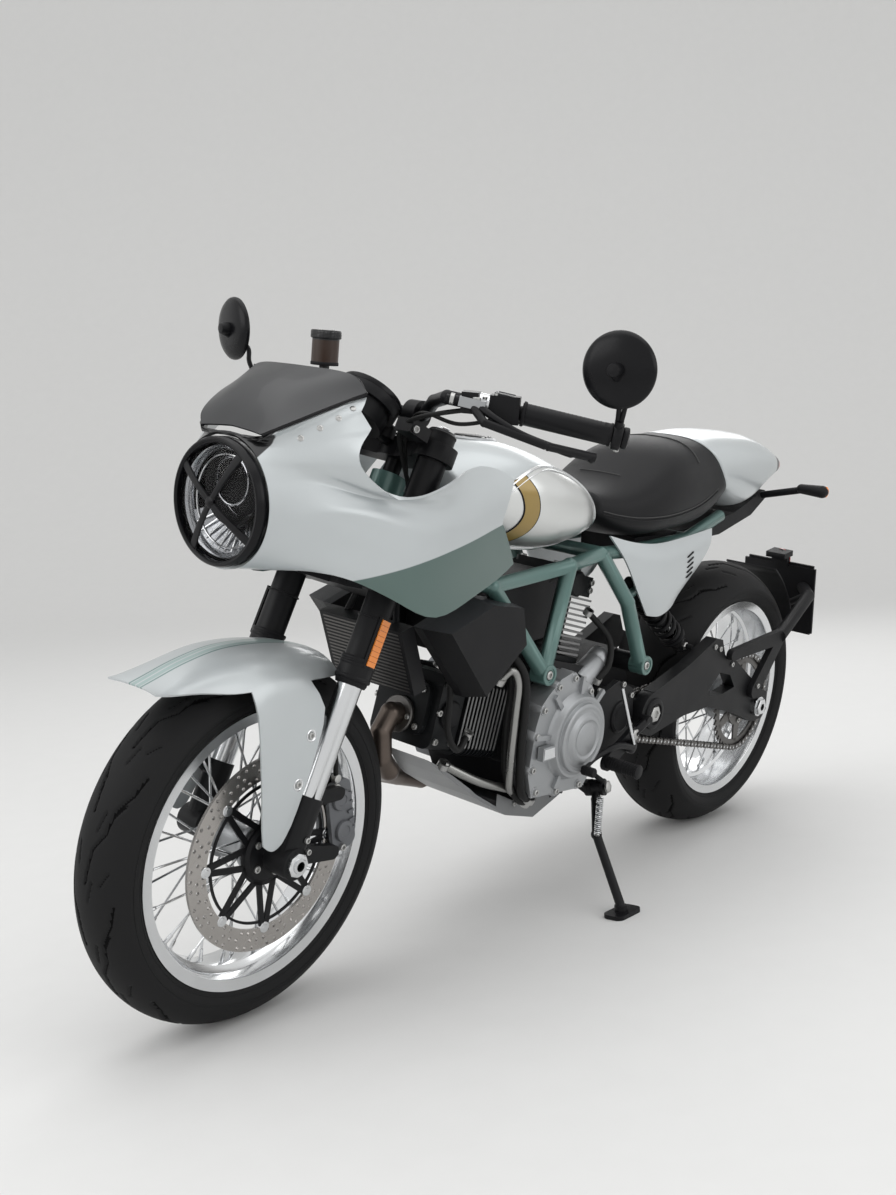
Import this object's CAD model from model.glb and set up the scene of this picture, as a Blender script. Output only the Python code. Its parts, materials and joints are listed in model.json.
"""Looks of a cafe racer motorcycle parked on its side stand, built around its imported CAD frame.

Shapes are written in millimetres in the upright machine's own frame (x ahead of the rear axle, y to the
rider's left, z above the ground) and placed with put(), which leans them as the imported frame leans.
"""
import json
from math import asin, atan2, copysign, cos, hypot, pi, radians, sin, sqrt

import bmesh
import bpy
import numpy as np
from mathutils import Matrix, Vector
from mathutils.bvhtree import BVHTree


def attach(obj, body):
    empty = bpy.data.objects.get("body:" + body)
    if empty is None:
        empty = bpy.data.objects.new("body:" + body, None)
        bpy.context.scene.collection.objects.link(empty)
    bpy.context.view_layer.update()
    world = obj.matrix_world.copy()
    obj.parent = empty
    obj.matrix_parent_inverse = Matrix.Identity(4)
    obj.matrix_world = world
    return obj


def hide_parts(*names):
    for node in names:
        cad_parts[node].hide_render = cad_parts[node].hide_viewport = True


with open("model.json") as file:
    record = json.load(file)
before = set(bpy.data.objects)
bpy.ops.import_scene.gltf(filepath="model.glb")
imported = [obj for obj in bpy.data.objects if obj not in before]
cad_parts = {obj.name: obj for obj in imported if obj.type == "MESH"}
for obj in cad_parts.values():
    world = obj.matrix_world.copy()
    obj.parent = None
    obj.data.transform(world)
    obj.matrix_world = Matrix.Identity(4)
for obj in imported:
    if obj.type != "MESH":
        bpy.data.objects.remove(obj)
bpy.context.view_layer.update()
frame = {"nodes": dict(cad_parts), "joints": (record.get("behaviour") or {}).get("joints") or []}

# ---- The upright machine's frame ----
LEAN = radians(10)
RAKE = radians(24)
JOINTS = {j["name"]: j for j in frame["joints"]}
REAR_AXLE = np.array([0.0, 0.0, 316.6])
UPRIGHT = np.array([[1, 0, 0], [0, cos(LEAN), sin(LEAN)], [0, -sin(LEAN), cos(LEAN)]])
ORIGIN = np.array(JOINTS["rear_wheel"]["pos_m"]) - UPRIGHT @ REAR_AXLE / 1000
FRONT_AXLE = (UPRIGHT.T @ (np.array(JOINTS["front_wheel"]["pos_m"]) - ORIGIN)) * 1000
HEAD = (UPRIGHT.T @ (np.array(JOINTS["steering"]["pos_m"]) - ORIGIN)) * 1000
CRANK = np.array([745.0, 0.0, 385.0])
SIDES = (1, -1)

# ---- Driving dimensions, in millimetres ----
BEAD_R, RIM_R = 216, 232
FRONT_TYRE_R, FRONT_TYRE_W, FRONT_CROWN_R, FRONT_RIM_W = 300, 120, 64, 104
REAR_TYRE_R, REAR_TYRE_W, REAR_CROWN_R, REAR_RIM_W = 315, 180, 106, 152
SPOKES = 36
FRONT_DISC_Y, FRONT_DISC_R = 64, 162
REAR_DISC_Y, REAR_DISC_R = -104, 122
CHAIN_Y, CHAIN_PITCH = 106, 15.875
FRONT_SPROCKET_R, REAR_SPROCKET_R, REAR_TEETH = 38.0, 111.0, 44
FRONT_SPROCKET = np.array([548, 372.0])
FORK_X, FORK_Y = 30.5, 105
LAMP_R = 87.5
BARREL_TILTS = (76, -14)
LUG_Y = 141.6

# ---- Camera ----
CAMERA_AT = (2.160926, 1.530100, 0.868650)
CAMERA_YAW, CAMERA_PITCH, CAMERA_ROLL = (radians(a) for a in (-139.3735, -5.3236, -2.9638))
CAMERA_LENS = 41.216


def put(points):
    """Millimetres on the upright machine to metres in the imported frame."""
    return np.asarray(points, float) @ UPRIGHT.T / 1000 + ORIGIN


def upright(point):
    """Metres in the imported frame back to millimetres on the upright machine."""
    return UPRIGHT.T @ (np.array(point) - ORIGIN) * 1000


def unit(v):
    v = np.asarray(v, float)
    return v / np.linalg.norm(v)


def fork_point(x, y, z):
    """A place on the steering axis' own frame: z up the axis from the head's middle, x ahead of it."""
    return HEAD + x * polar(1, RAKE) + [0, y, 0] + z * np.array([-sin(RAKE), 0, cos(RAKE)])


def bend(points, s):
    """Point at share s of the smooth curve through all the points."""
    p = np.asarray(points, float)
    n = len(p) - 1
    i = min(int(s * n), n - 1)
    t = s * n - i
    b, c = p[i], p[i + 1]
    a = p[i - 1] if i > 0 else 2 * b - c
    d = p[i + 2] if i + 2 <= n else 2 * c - b
    square, cube = 2 * a - 5 * b + 4 * c - d, 3 * b - a - 3 * c + d
    return 0.5 * (2 * b + (c - a) * t + square * t ** 2 + cube * t ** 3)


def polar(r, a, y=0.0):
    """A point at radius r and angle a about the y axis."""
    return np.array([r * cos(a), y, r * sin(a)])


def smooth(points, steps):
    return np.array([bend(points, k / steps) for k in range(steps + 1)])


# ---- Materials ----
SILVER = (0.50, 0.53, 0.54)


def links(nt, *pairs):
    for a, b in pairs:
        nt.links.new(a, b)


def material(name, color, rough, metal=0.0, grain=400.0, bump=0.1, vary=0.12, tint=0.08, stretch=None,
             voronoi=False,
             coat=0.0, sheen=0.0, **inputs):
    """A procedural surface: fine bump, and roughness and colour that vary a little over it."""
    m = bpy.data.materials.new(name)
    m.use_nodes = True
    m.diffuse_color = (*color, 1)
    nt = m.node_tree
    n = nt.nodes
    bsdf = n["Principled BSDF"]
    place = n.new("ShaderNodeTexCoord")
    source = place.outputs["Object"]
    if stretch:
        mapping = n.new("ShaderNodeMapping")
        mapping.inputs["Scale"].default_value = stretch
        links(nt, (source, mapping.inputs["Vector"]))
        source = mapping.outputs["Vector"]
    fine = n.new("ShaderNodeTexVoronoi" if voronoi else "ShaderNodeTexNoise")
    fine.inputs["Scale"].default_value = grain
    broad = n.new("ShaderNodeTexNoise")
    broad.inputs["Scale"].default_value = 14
    broad.inputs["Detail"].default_value = 5
    fine_out = fine.outputs["Distance"] if voronoi else fine.outputs["Fac"]
    spread = n.new("ShaderNodeMapRange")
    spread.inputs["To Min"].default_value = max(0.02, rough - vary)
    spread.inputs["To Max"].default_value = min(1.0, rough + vary)
    shade = n.new("ShaderNodeMixRGB")
    shade.inputs["Color1"].default_value = (*[c * (1 - tint) for c in color], 1)
    shade.inputs["Color2"].default_value = (*[min(1, c * (1 + tint)) for c in color], 1)
    relief = n.new("ShaderNodeBump")
    relief.inputs["Strength"].default_value = bump
    relief.inputs["Distance"].default_value = 0.0006
    links(nt, (source, fine.inputs["Vector"]), (source, broad.inputs["Vector"]),
          (broad.outputs["Fac"], spread.inputs["Value"]),
          (spread.outputs["Result"], bsdf.inputs["Roughness"]),
          (broad.outputs["Fac"], shade.inputs["Fac"]), (shade.outputs["Color"], bsdf.inputs["Base Color"]),
          (fine_out, relief.inputs["Height"]), (relief.outputs["Normal"], bsdf.inputs["Normal"]))
    bsdf.inputs["Metallic"].default_value = metal
    bsdf.inputs["Coat Weight"].default_value = coat
    bsdf.inputs["Coat Roughness"].default_value = 0.12
    bsdf.inputs["Sheen Weight"].default_value = sheen
    for key, value in inputs.items():
        bsdf.inputs[key.replace("_", " ")].default_value = value
    return m


def paint(name):
    return material(name, SILVER, 0.40, 0.45, grain=2600, bump=0.05, vary=0.04, tint=0.03, coat=0.5)


def band_over(m, color, masks):
    """Lays a second colour over a material beyond every plane given as (direction, point, softness)."""
    nt = m.node_tree
    n = nt.nodes
    bsdf = n["Principled BSDF"]
    under = bsdf.inputs["Base Color"].links[0].from_socket
    place = n.new("ShaderNodeTexCoord")
    product = None
    for direction, point, softness in masks:
        normal = UPRIGHT @ unit(direction)
        dot = n.new("ShaderNodeVectorMath")
        dot.operation = "DOT_PRODUCT"
        dot.inputs[1].default_value = normal
        step = n.new("ShaderNodeMapRange")
        level = float(normal @ put(point))
        step.inputs["From Min"].default_value = level - softness / 1000
        step.inputs["From Max"].default_value = level + softness / 1000
        links(nt, (place.outputs["Object"], dot.inputs[0]), (dot.outputs["Value"], step.inputs["Value"]))
        out = step.outputs["Result"]
        if product is not None:
            times = n.new("ShaderNodeMath")
            times.operation = "MULTIPLY"
            links(nt, (product, times.inputs[0]), (out, times.inputs[1]))
            out = times.outputs["Value"]
        product = out
    mix = n.new("ShaderNodeMixRGB")
    mix.inputs["Color2"].default_value = (*color, 1)
    links(nt, (product, mix.inputs["Fac"]), (under, mix.inputs["Color1"]),
          (mix.outputs["Color"], bsdf.inputs["Base Color"]))
    return m


GREEN = (0.085, 0.135, 0.122)
BLACK = (0.008, 0.008, 0.009)
M = {
    "silver": paint("silver_paint"),
    "fairing": paint("fairing_paint"),
    "green": material("green_frame_paint", (0.085, 0.165, 0.15), 0.36, 0.3, grain=1500, bump=0.06,
                      coat=0.4),
    "panel": material("brushed_panel", (0.66, 0.67, 0.66), 0.34, 0.85, grain=500, bump=0.10,
                      stretch=(0.05, 1, 1),
                      coat=0.4),
    "gold": material("gold_stripe", (0.30, 0.205, 0.055), 0.34, 0.35, grain=2000, bump=0.04, coat=0.6),
    "black_gloss": material("black_gloss", (0.004, 0.004, 0.005), 0.26, 0.0, grain=1200, bump=0.03,
                            vary=0.05, Specular_IOR_Level=0.2),
    "black_satin": material("black_satin", (0.006, 0.006, 0.007), 0.42, 0.0, grain=1800, bump=0.12,
                            Specular_IOR_Level=0.2),
    "black_plastic": material("black_plastic", (0.007, 0.007, 0.008), 0.52, 0.0, grain=2400, bump=0.22,
                              Specular_IOR_Level=0.2),
    "grey_plastic": material("dark_grey_plastic", (0.026, 0.027, 0.030), 0.45, 0.0, grain=2200, bump=0.15,
                             Specular_IOR_Level=0.2),
    "black_cast": material("black_casting", (0.008, 0.0082, 0.009), 0.46, 0.1, grain=900, bump=0.35,
                           Specular_IOR_Level=0.2),
    "grey_cast": material("grey_casting", (0.15, 0.155, 0.165), 0.52, 0.65, grain=800, bump=0.4),
    "silver_cast": material("silver_casting", (0.36, 0.37, 0.38), 0.42, 0.75, grain=900, bump=0.22),
    "alloy": material("polished_alloy", (0.72, 0.73, 0.74), 0.17, 0.95, grain=700, bump=0.04, vary=0.06),
    "steel": material("bright_steel", (0.66, 0.67, 0.68), 0.2, 1.0, grain=900, bump=0.05, vary=0.07),
    "bolt": material("zinc_bolt", (0.48, 0.48, 0.47), 0.34, 0.9, grain=1400, bump=0.1),
    "dark_steel": material("dark_steel", (0.13, 0.125, 0.12), 0.38, 0.9, grain=1200, bump=0.2),
    "header": material("heat_tinted_header", (0.13, 0.105, 0.09), 0.38, 0.9, grain=300, bump=0.12,
                       tint=0.35, vary=0.16),
    "disc": material("ground_disc", (0.42, 0.40, 0.38), 0.26, 0.95, grain=1600, bump=0.15, vary=0.1),
    "tyre": material("tyre_rubber", (0.009, 0.009, 0.0095), 0.66, 0.0, grain=1500, bump=0.3, vary=0.1,
                     tint=0.3, Specular_IOR_Level=0.2),
    "groove": material("tread_groove", (0.0025, 0.0025, 0.0027), 0.9, 0.0, grain=900, bump=0.1,
                       Specular_IOR_Level=0.1),
    "rubber": material("grip_rubber", (0.006, 0.006, 0.007), 0.62, 0.0, grain=1300, bump=0.5, voronoi=True,
                       Specular_IOR_Level=0.2),
    "leather": material("black_leather", (0.008, 0.008, 0.009), 0.46, 0.0, grain=620, bump=0.35, vary=0.08,
                        tint=0.25,
                        voronoi=True, Specular_IOR_Level=0.2),
    "thread": material("seat_thread", (0.05, 0.05, 0.05), 0.8, 0.0, grain=3000, bump=0.4),
    "amber": material("amber_lens", (0.75, 0.22, 0.02), 0.18, 0.0, grain=300, bump=0.2, coat=0.6),
    "red": material("red_lens", (0.35, 0.012, 0.012), 0.16, 0.0, grain=260, bump=0.2, coat=0.7),
    "mirror": material("mirror_glass", (0.85, 0.87, 0.88), 0.03, 1.0, grain=100, bump=0.0, vary=0.01,
                       tint=0.01),
    "reflector": material("lamp_reflector", (0.42, 0.43, 0.45), 0.16, 1.0, grain=220, bump=0.15, vary=0.05),
    "dial": material("gauge_face", (0.015, 0.016, 0.018), 0.3, 0.0, grain=900, bump=0.03, coat=0.7),
    "plate": material("blank_plate", (0.62, 0.63, 0.62), 0.45, 0.1, grain=1400, bump=0.06),
    "dark_alloy": material("oil_line", (0.30, 0.30, 0.29), 0.3, 0.9, grain=600, bump=0.05),
    "hose": material("rubber_hose", (0.010, 0.010, 0.010), 0.55, 0.0, grain=1500, bump=0.2,
                     Specular_IOR_Level=0.2),
    "floor": material("pale_floor", (0.70, 0.70, 0.695), 0.75, 0.0, grain=90, bump=0.05, vary=0.06,
                      tint=0.02),
}
# The fairing is green below a slanting line, and black between the screen and the headlight's ring
band_over(M["fairing"], GREEN, [((-0.187, 0.0, -1.0), (1404, 0, 752), 0.8),
                                ((-1.0, 0, -0.35), (1408, 0, 752), 0.8)])
band_over(M["fairing"], BLACK, [((0.35, 0, 1), (1500, 0, 918), 0.8),
                                ((0.1, 1, 0.35), (1500, -74, 940), 0.8),
                                ((0.1, -1, 0.35), (1500, 74, 940), 0.8)])
GLASS = bpy.data.materials.new("clear_lamp_glass")
SMOKED = bpy.data.materials.new("smoked_screen")
for glass, color, alpha, rough in ((GLASS, (0.02, 0.02, 0.02), 0.08, 0.03),
                                   (SMOKED, (0.006, 0.007, 0.009), 0.95, 0.30)):
    glass.use_nodes = True
    g = glass.node_tree.nodes["Principled BSDF"]
    noise = glass.node_tree.nodes.new("ShaderNodeTexNoise")
    noise.inputs["Scale"].default_value = 60
    relief = glass.node_tree.nodes.new("ShaderNodeBump")
    relief.inputs["Strength"].default_value = 0.02
    relief.inputs["Distance"].default_value = 0.0004
    links(glass.node_tree, (noise.outputs["Fac"], relief.inputs["Height"]),
          (relief.outputs["Normal"], g.inputs["Normal"]))
    g.inputs["Base Color"].default_value = (*color, 1)
    g.inputs["Roughness"].default_value = rough
    g.inputs["Alpha"].default_value = alpha
    g.inputs["Coat Weight"].default_value = 0.1
    g.inputs["Coat Roughness"].default_value = 0.02
    glass.diffuse_color = (*color, alpha)
M["glass"] = GLASS
M["smoked"] = SMOKED


# ---- Mesh pieces ----
class Piece:
    """Collects shapes in upright millimetres, then becomes one object on a body."""

    def __init__(self, name, body, slot, replaces=(), mat=None):
        self.name, self.body, self.slot, self.replaced, self.mat = name, body, slot, replaces, mat
        self.points, self.faces, self.mats, self.names = [], [], [], []
        self.count = 0

    def add(self, shape, mat=None):
        """Adds a shape in a material, or in the piece's usual one."""
        points, faces = shape
        mat = mat or self.mat
        if mat not in self.names:
            self.names.append(mat)
        self.points.append(np.asarray(points, float))
        self.faces += [[i + self.count for i in f] for f in faces]
        self.mats += [self.names.index(mat)] * len(faces)
        self.count += len(points)
        return self

    def both(self, shape, mat=None):
        """Adds a shape and its mirror image on the machine's other side."""
        points, faces = shape
        self.add(shape, mat)
        mirrored = np.asarray(points, float) * [1, -1, 1]
        return self.add((mirrored, [list(reversed(f)) for f in faces]), mat)

    def done(self, sharp=38, bevel=0.0, subdivide=0):
        mesh = bpy.data.meshes.new(self.name)
        mesh.from_pydata(put(np.concatenate(self.points)).tolist(), [], self.faces)
        for name in self.names:
            mesh.materials.append(M[name])
        mesh.polygons.foreach_set("material_index", self.mats)
        mesh.validate()
        finish_mesh(mesh, sharp)
        o = bpy.data.objects.new(self.name, mesh)
        bpy.context.scene.collection.objects.link(o)
        if bevel:
            b = o.modifiers.new("edges", "BEVEL")
            b.width = bevel / 1000
            b.segments = 2
            b.limit_method = "ANGLE"
            b.angle_limit = radians(40)
            b.harden_normals = True
        if subdivide:
            s = o.modifiers.new("smooth", "SUBSURF")
            s.levels = s.render_levels = subdivide
        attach(o, self.body)
        if self.replaced:
            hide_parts(*self.replaced)
        return o


def finish_mesh(mesh, sharp=38):
    bm = bmesh.new()
    bm.from_mesh(mesh)
    bmesh.ops.recalc_face_normals(bm, faces=bm.faces)
    bm.to_mesh(mesh)
    bm.free()
    mesh.polygons.foreach_set("use_smooth", [True] * len(mesh.polygons))
    mesh.set_sharp_from_angle(angle=radians(sharp))
    mesh.update()


def frame_of(axis):
    a = unit(axis)
    u = unit(np.cross(a, [0, 0, 1] if abs(a[2]) < 0.9 else [1, 0, 0]))
    return a, u, np.cross(a, u)


def tube(points, r, sides=12, closed=False):
    """Round tube along points; r is one radius or one for each point."""
    p = np.asarray(points, float)
    n = len(p)
    radii = np.broadcast_to(np.asarray(r, float), (n,))
    if closed:
        t = np.roll(p, -1, 0) - np.roll(p, 1, 0)
    else:
        t = np.gradient(p, axis=0)
    t /= np.linalg.norm(t, axis=1)[:, None]
    _, u, _ = frame_of(t[0])
    rings = []
    for k in range(n):
        u = unit(u - t[k] * (u @ t[k]))
        v = np.cross(t[k], u)
        a = 2 * pi * np.arange(sides) / sides
        rings.append(p[k] + radii[k] * (np.cos(a)[:, None] * u + np.sin(a)[:, None] * v))
    faces = []
    for k in range(n if closed else n - 1):
        a, b = k * sides, ((k + 1) % n) * sides
        faces += [[a + j, a + (j + 1) % sides, b + (j + 1) % sides, b + j] for j in range(sides)]
    if not closed:
        faces += [list(range(sides))[::-1], list(range((n - 1) * sides, n * sides))]
    return np.concatenate(rings), faces


def lathe(profile, at, axis=(0, 1, 0), sides=48, turn=0.0):
    """Surface of revolution: profile is (radius, distance along the axis)."""
    a, u, v = frame_of(axis)
    at = np.asarray(at, float)
    angle = 2 * pi * np.arange(sides) / sides + turn
    spoke = np.cos(angle)[:, None] * u + np.sin(angle)[:, None] * v
    rings = [at + d * a + r * spoke for r, d in profile]
    n = len(profile)
    faces = []
    for k in range(n - 1):
        p, q = k * sides, (k + 1) * sides
        faces += [[p + j, p + (j + 1) % sides, q + (j + 1) % sides, q + j] for j in range(sides)]
    return np.concatenate(rings), faces


def ring(at, axis, r, wire, sides=64, around=10):
    a, u, v = frame_of(axis)
    t = 2 * pi * np.arange(sides) / sides
    path = np.asarray(at, float) + r * (np.cos(t)[:, None] * u + np.sin(t)[:, None] * v)
    return tube(path, wire, around, closed=True)


def bolt(at, axis, r=6.0, h=5.0):
    """Socket-head bolt: rounded head with a hexagonal recess."""
    head = lathe([(r * 0.98, 0), (r, 0.4), (r, h - 0.8), (r - 0.8, h), (r * 0.56, h)], at, axis, 16)
    well = lathe([(r * 0.56, h), (r * 0.50, h - 0.2), (r * 0.50, h * 0.35), (0.01, h * 0.35)], at, axis, 6)
    return merge(head, well)


def bolts(piece, spots, axis, r, h):
    for spot in spots:
        piece.add(bolt(spot, axis, r, h), "bolt")


def merge(*shapes):
    points, faces, count = [], [], 0
    for p, f in shapes:
        points.append(np.asarray(p, float))
        faces += [[i + count for i in face] for face in f]
        count += len(p)
    return np.concatenate(points), faces


def prism(outline, y0, y1):
    """Outline in x and z thickened from y0 to y1."""
    o = np.asarray(outline, float)
    n = len(o)
    points = [[x, y, z] for y in (y0, y1) for x, z in o]
    faces = [list(range(n))[::-1], list(range(n, 2 * n))]
    faces += [[j, (j + 1) % n, n + (j + 1) % n, n + j] for j in range(n)]
    return np.array(points), faces


def block(center, size, x_axis=(1, 0, 0), z_axis=(0, 0, 1)):
    x = unit(x_axis)
    z = unit(np.asarray(z_axis, float) - x * (np.asarray(z_axis, float) @ x))
    y = np.cross(z, x)
    h = np.asarray(size, float) / 2
    signs = [(-1, -1, -1), (1, -1, -1), (1, 1, -1), (-1, 1, -1), (-1, -1, 1), (1, -1, 1), (1, 1, 1),
             (-1, 1, 1)]
    points = [np.asarray(center,
                         float) + s[0] * h[0] * x + s[1] * h[1] * y + s[2] * h[2] * z for s in signs]
    return np.array(points), [[3, 2, 1, 0], [4, 5, 6, 7], [0, 1, 5, 4], [1, 2, 6, 5], [2, 3, 7, 6],
                              [3, 0, 4, 7]]


def grid(rows, closed=False):
    """Faces over a rows x columns array of points."""
    g = np.asarray(rows, float)
    m, n = g.shape[:2]
    last = n if closed else n - 1
    faces = [[i * n + j, i * n + (j + 1) % n, (i + 1) * n + (j + 1) % n, (i + 1) * n + j]
             for i in range(m - 1) for j in range(last)]
    return g.reshape(-1, 3), faces


def from_cad(node, name, body, mats, levels=1, crease=50, choose=None):
    """A CAD node's own surface, welded into four-sided faces and rounded by a subdivision surface."""
    mesh = frame["nodes"][node].data.copy()
    mesh.name = name
    mesh.materials.clear()
    for key in mats:
        mesh.materials.append(M[key])
    bm = bmesh.new()
    bm.from_mesh(mesh)
    bmesh.ops.remove_doubles(bm, verts=bm.verts, dist=2e-5)
    bmesh.ops.join_triangles(bm, faces=bm.faces, angle_face_threshold=radians(35),
                             angle_shape_threshold=radians(75))
    bmesh.ops.recalc_face_normals(bm, faces=bm.faces)
    layer = bm.edges.layers.float.get("crease_edge") or bm.edges.layers.float.new("crease_edge")
    for e in bm.edges:
        if len(e.link_faces) == 2 and e.calc_face_angle(0) > radians(crease):
            e[layer] = 1.0
    if choose:
        for f in bm.faces:
            f.material_index = choose(upright(f.calc_center_median()), UPRIGHT.T @ np.array(f.normal))
    else:
        for f in bm.faces:
            f.material_index = 0
    bm.to_mesh(mesh)
    bm.free()
    mesh.polygons.foreach_set("use_smooth", [True] * len(mesh.polygons))
    mesh.set_sharp_from_angle(angle=radians(min(crease, 50 if levels else 30)))
    o = bpy.data.objects.new(name, mesh)
    bpy.context.scene.collection.objects.link(o)
    if levels:
        s = o.modifiers.new("smooth", "SUBSURF")
        s.levels = s.render_levels = levels
    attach(o, body)
    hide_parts(node)
    return o


# ---- Finish of each CAD node that stays in view ----
def edged(name, base, y):
    """Black casting whose fin edges, beyond y on either side, are machined bright."""
    m = material(name, base, 0.45, 0.2, grain=900, bump=0.25, Specular_IOR_Level=0.2)
    for s in SIDES:
        band_over(m, (0.22, 0.22, 0.22), [((0, s, 0), (0, s * y, 0), 0.3)])
    return m


M["fins"] = edged("finned_casting", (0.010, 0.011, 0.012), 78.2)
M["reservoir"] = material("reservoir_body", BLACK, 0.3, 0.0, grain=1500, bump=0.1)
band_over(M["reservoir"], (0.030, 0.013, 0.006),
          [((0, 0, 1), (1122, -204, 1050), 0.5), ((0, 0, -1), (1122, -204, 1088), 0.5)])
M["pan"] = material("pan_casting", (0.22, 0.225, 0.23), 0.46, 0.6, grain=900, bump=0.22)
FINISH = {
    "green": "frame",
    "black_cast": "crankcase swingarm rear_caliper fork_feet",
    "silver_cast": "left_engine_cover",
    "grey_cast": "right_engine_cover front_caliper",
    "fins": "front_cylinder rear_cylinder",
    "header": "exhaust",
    "black_plastic": "air_box rear_tray rear_indicators plate_bracket",
    "black_satin": "fairing_stay oil_cooler rear_shock footrests yokes fork_tubes "
                   "handlebar hand_controls instruments side_stand",
    "steel": "rear_axle stanchions front_axle",
    "pan": "belly_pan",
    "black_gloss": "mirrors headlight",
    "glass": "headlight_lens",
    "reservoir": "brake_reservoir",
}
BEVELS = {"left_engine_cover": 4, "right_engine_cover": 4, "crankcase": 3, "swingarm": 4, "fork_feet": 3,
          "yokes": 3, "front_caliper": 3, "rear_caliper": 3, "plate_bracket": 1.2, "belly_pan": 1.2, "footrests": 1.5,
          "hand_controls": 4, "side_stand": 1.5, "instruments": 3, "handlebar": 1.5, "air_box": 4,
          "oil_cooler": 2, "rear_tray": 2}
for key, node in ((key, node) for key, nodes in FINISH.items() for node in nodes.split()):
    o = frame["nodes"][node]
    o.data.materials.clear()
    o.data.materials.append(M[key])
    o.data.polygons.foreach_set("material_index", [0] * len(o.data.polygons))
    weld = o.modifiers.new("weld", "WELD")
    weld.merge_threshold = 0.00002
    if node in BEVELS:
        b = o.modifiers.new("edges", "BEVEL")
        b.width = BEVELS[node] / 1000
        b.segments = 3
        b.limit_method = "ANGLE"
        b.angle_limit = radians(42)
        b.harden_normals = True

# ---- Painted shells ----
# A pale stripe and its dark pinstripes run down the middle of the front mudguard
M["guard"] = paint("guard_paint")
M["tail"] = paint("tail_paint")
band_over(M["tail"], BLACK, [((-1, 0, 0.15), (-98, 0, 865), 0.8)])
for outer, inner, tone in ((15, 11.5, (0.18, 0.27, 0.26)), (9.5, 1.5, (0.33, 0.43, 0.42))):
    for s in SIDES:
        band_over(M["guard"], tone, [((0, s, 0), (0, s * inner, 0), 0.3),
                                     ((0, -s, 0), (0, s * outer, 0), 0.3),
                                     ((0, 0, 1), (0, 0, 585), 2)])

from_cad("fairing", "fairing_shell", "chassis", ["fairing"], levels=1, crease=40)
from_cad("fuel_tank", "tank_shell", "chassis", ["silver"], levels=1)
from_cad("tail_cowl", "tail_shell", "chassis", ["tail"], levels=1)
from_cad("side_covers", "side_cover_shells", "chassis", ["silver"], levels=1, crease=34)
from_cad("front_mudguard", "mudguard_shell", "steering", ["guard"], levels=0)
from_cad("windscreen", "screen_shell", "chassis", ["smoked"], levels=1)
from_cad("cooler_shrouds", "shroud_shells", "chassis",
         ["black_plastic", "grey_plastic"], levels=0,
         choose=lambda p, n: int(n[2] > 0.35 and abs(p[1]) > 100))
from_cad("tail_light", "tail_lamp", "chassis", ["red"], levels=1)


# ---- Tank panels with their raised outline and stripe ----
def tank_side(x, z):
    def at(values, s):
        return bend([[v] for v in values], s)[0]
    s = (1086 - x) / (1086 - 640)
    half = at([92, 132, 160, 166, 158, 144, 112, 74], s)
    top = at([906, 934, 941, 931, 911, 885, 856, 829], s)
    mid = at([850, 850, 846, 838, 830, 818, 804, 796], s)
    low = at([812, 778, 750, 738, 736, 742, 752, 768], s)
    r = min(0.999, abs(z - mid) / (top - mid if z > mid else mid - low))
    return half * (1 - r ** (2 / 0.82)) ** 0.41


PANEL_RIM = [(1052, 826), (1022, 862), (980, 892), (930, 906), (868, 900), (790, 876), (724, 834),
             (686, 792),
             (676, 768), (730, 748), (850, 746), (972, 754), (1012, 766), (1040, 792)]
PANEL_MIDDLE = np.array([880, 818])


def rim_loop(count, shrink=0.0):
    p = np.array(PANEL_RIM + [PANEL_RIM[0]], float)
    loop = smooth(p, count)[:-1]
    return loop + (PANEL_MIDDLE - loop) * shrink


def on_tank(p, out):
    return np.array([p[0], tank_side(p[0], p[1]) + out, p[1]])


from_cad("tank_side_panels", "tank_panels", "chassis", ["panel"], levels=1)
trim = Piece("tank_panel_trim", "chassis", "bright_steel")
trim.both(tube([on_tank(p, 4.4) for p in rim_loop(120, 0.02)], 1.9, 8, closed=True), "steel")
trim.both(tube([on_tank(p, 5.1) for p in rim_loop(120, 0.085)], 1.0, 6, closed=True), "alloy")
trim.done()


def stripe_strip(edge_a, edge_b, out, thick, steps=40, across=8):
    """A thin skin over the tank panel between two lines of (x, z)."""
    a, b = smooth(edge_a, steps), smooth(edge_b, steps)
    rows = [[on_tank(a[k] + (b[k] - a[k]) * j / across,
                     out) for j in range(across + 1)] for k in range(steps + 1)]
    under = [[q - [0, thick, 0] for q in row] for row in rows]
    g = np.array([row + bottom[::-1] for row, bottom in zip(rows, under)])
    points, faces = grid(g, closed=True)
    n = g.shape[1]
    faces += [list(range(n)), list(range((steps) * n, (steps + 1) * n))[::-1]]
    return points, faces


STRIPE_FRONT = [(1000, 882), (985, 858), (978, 828), (984, 796), (1000, 760)]
STRIPE_REAR = [(975, 892), (956, 862), (949, 828), (955, 794), (972, 757)]
front_line, rear_line = np.array(STRIPE_FRONT, float), np.array(STRIPE_REAR, float)
stripe = Piece("tank_stripe", "chassis", "panel_metal")
stripe.both(stripe_strip(front_line + [2.2, 0], rear_line - [2.2, 0], 5.4, 1.2), "black_satin")
stripe.both(stripe_strip(front_line, rear_line, 5.7, 1.2), "gold")
stripe.done()

# ---- Filler cap, fairing rivets and edge trims ----
cap = Piece("filler_cap", "chassis", "cast_silver")
cap_at = np.array([950, 0, 936.0])
cap.add(lathe([(48, -6), (48, 2), (45, 4.6), (40, 5.2), (38, 3.4), (0.01, 3.6)], cap_at, (-0.05, 0, 1), 48),
        "silver_cast")
cap.add(lathe([(29, 3), (29, 6.4), (26, 7.6), (0.01, 8)], cap_at, (-0.05, 0, 1), 40), "black_satin")
for k in range(6):
    a = radians(60 * k + 20)
    cap.add(bolt(cap_at + [35 * cos(a), 35 * sin(a), 4], (-0.05, 0, 1), 3.4, 3), "bolt")
cap.done()


TREES = {}


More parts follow.
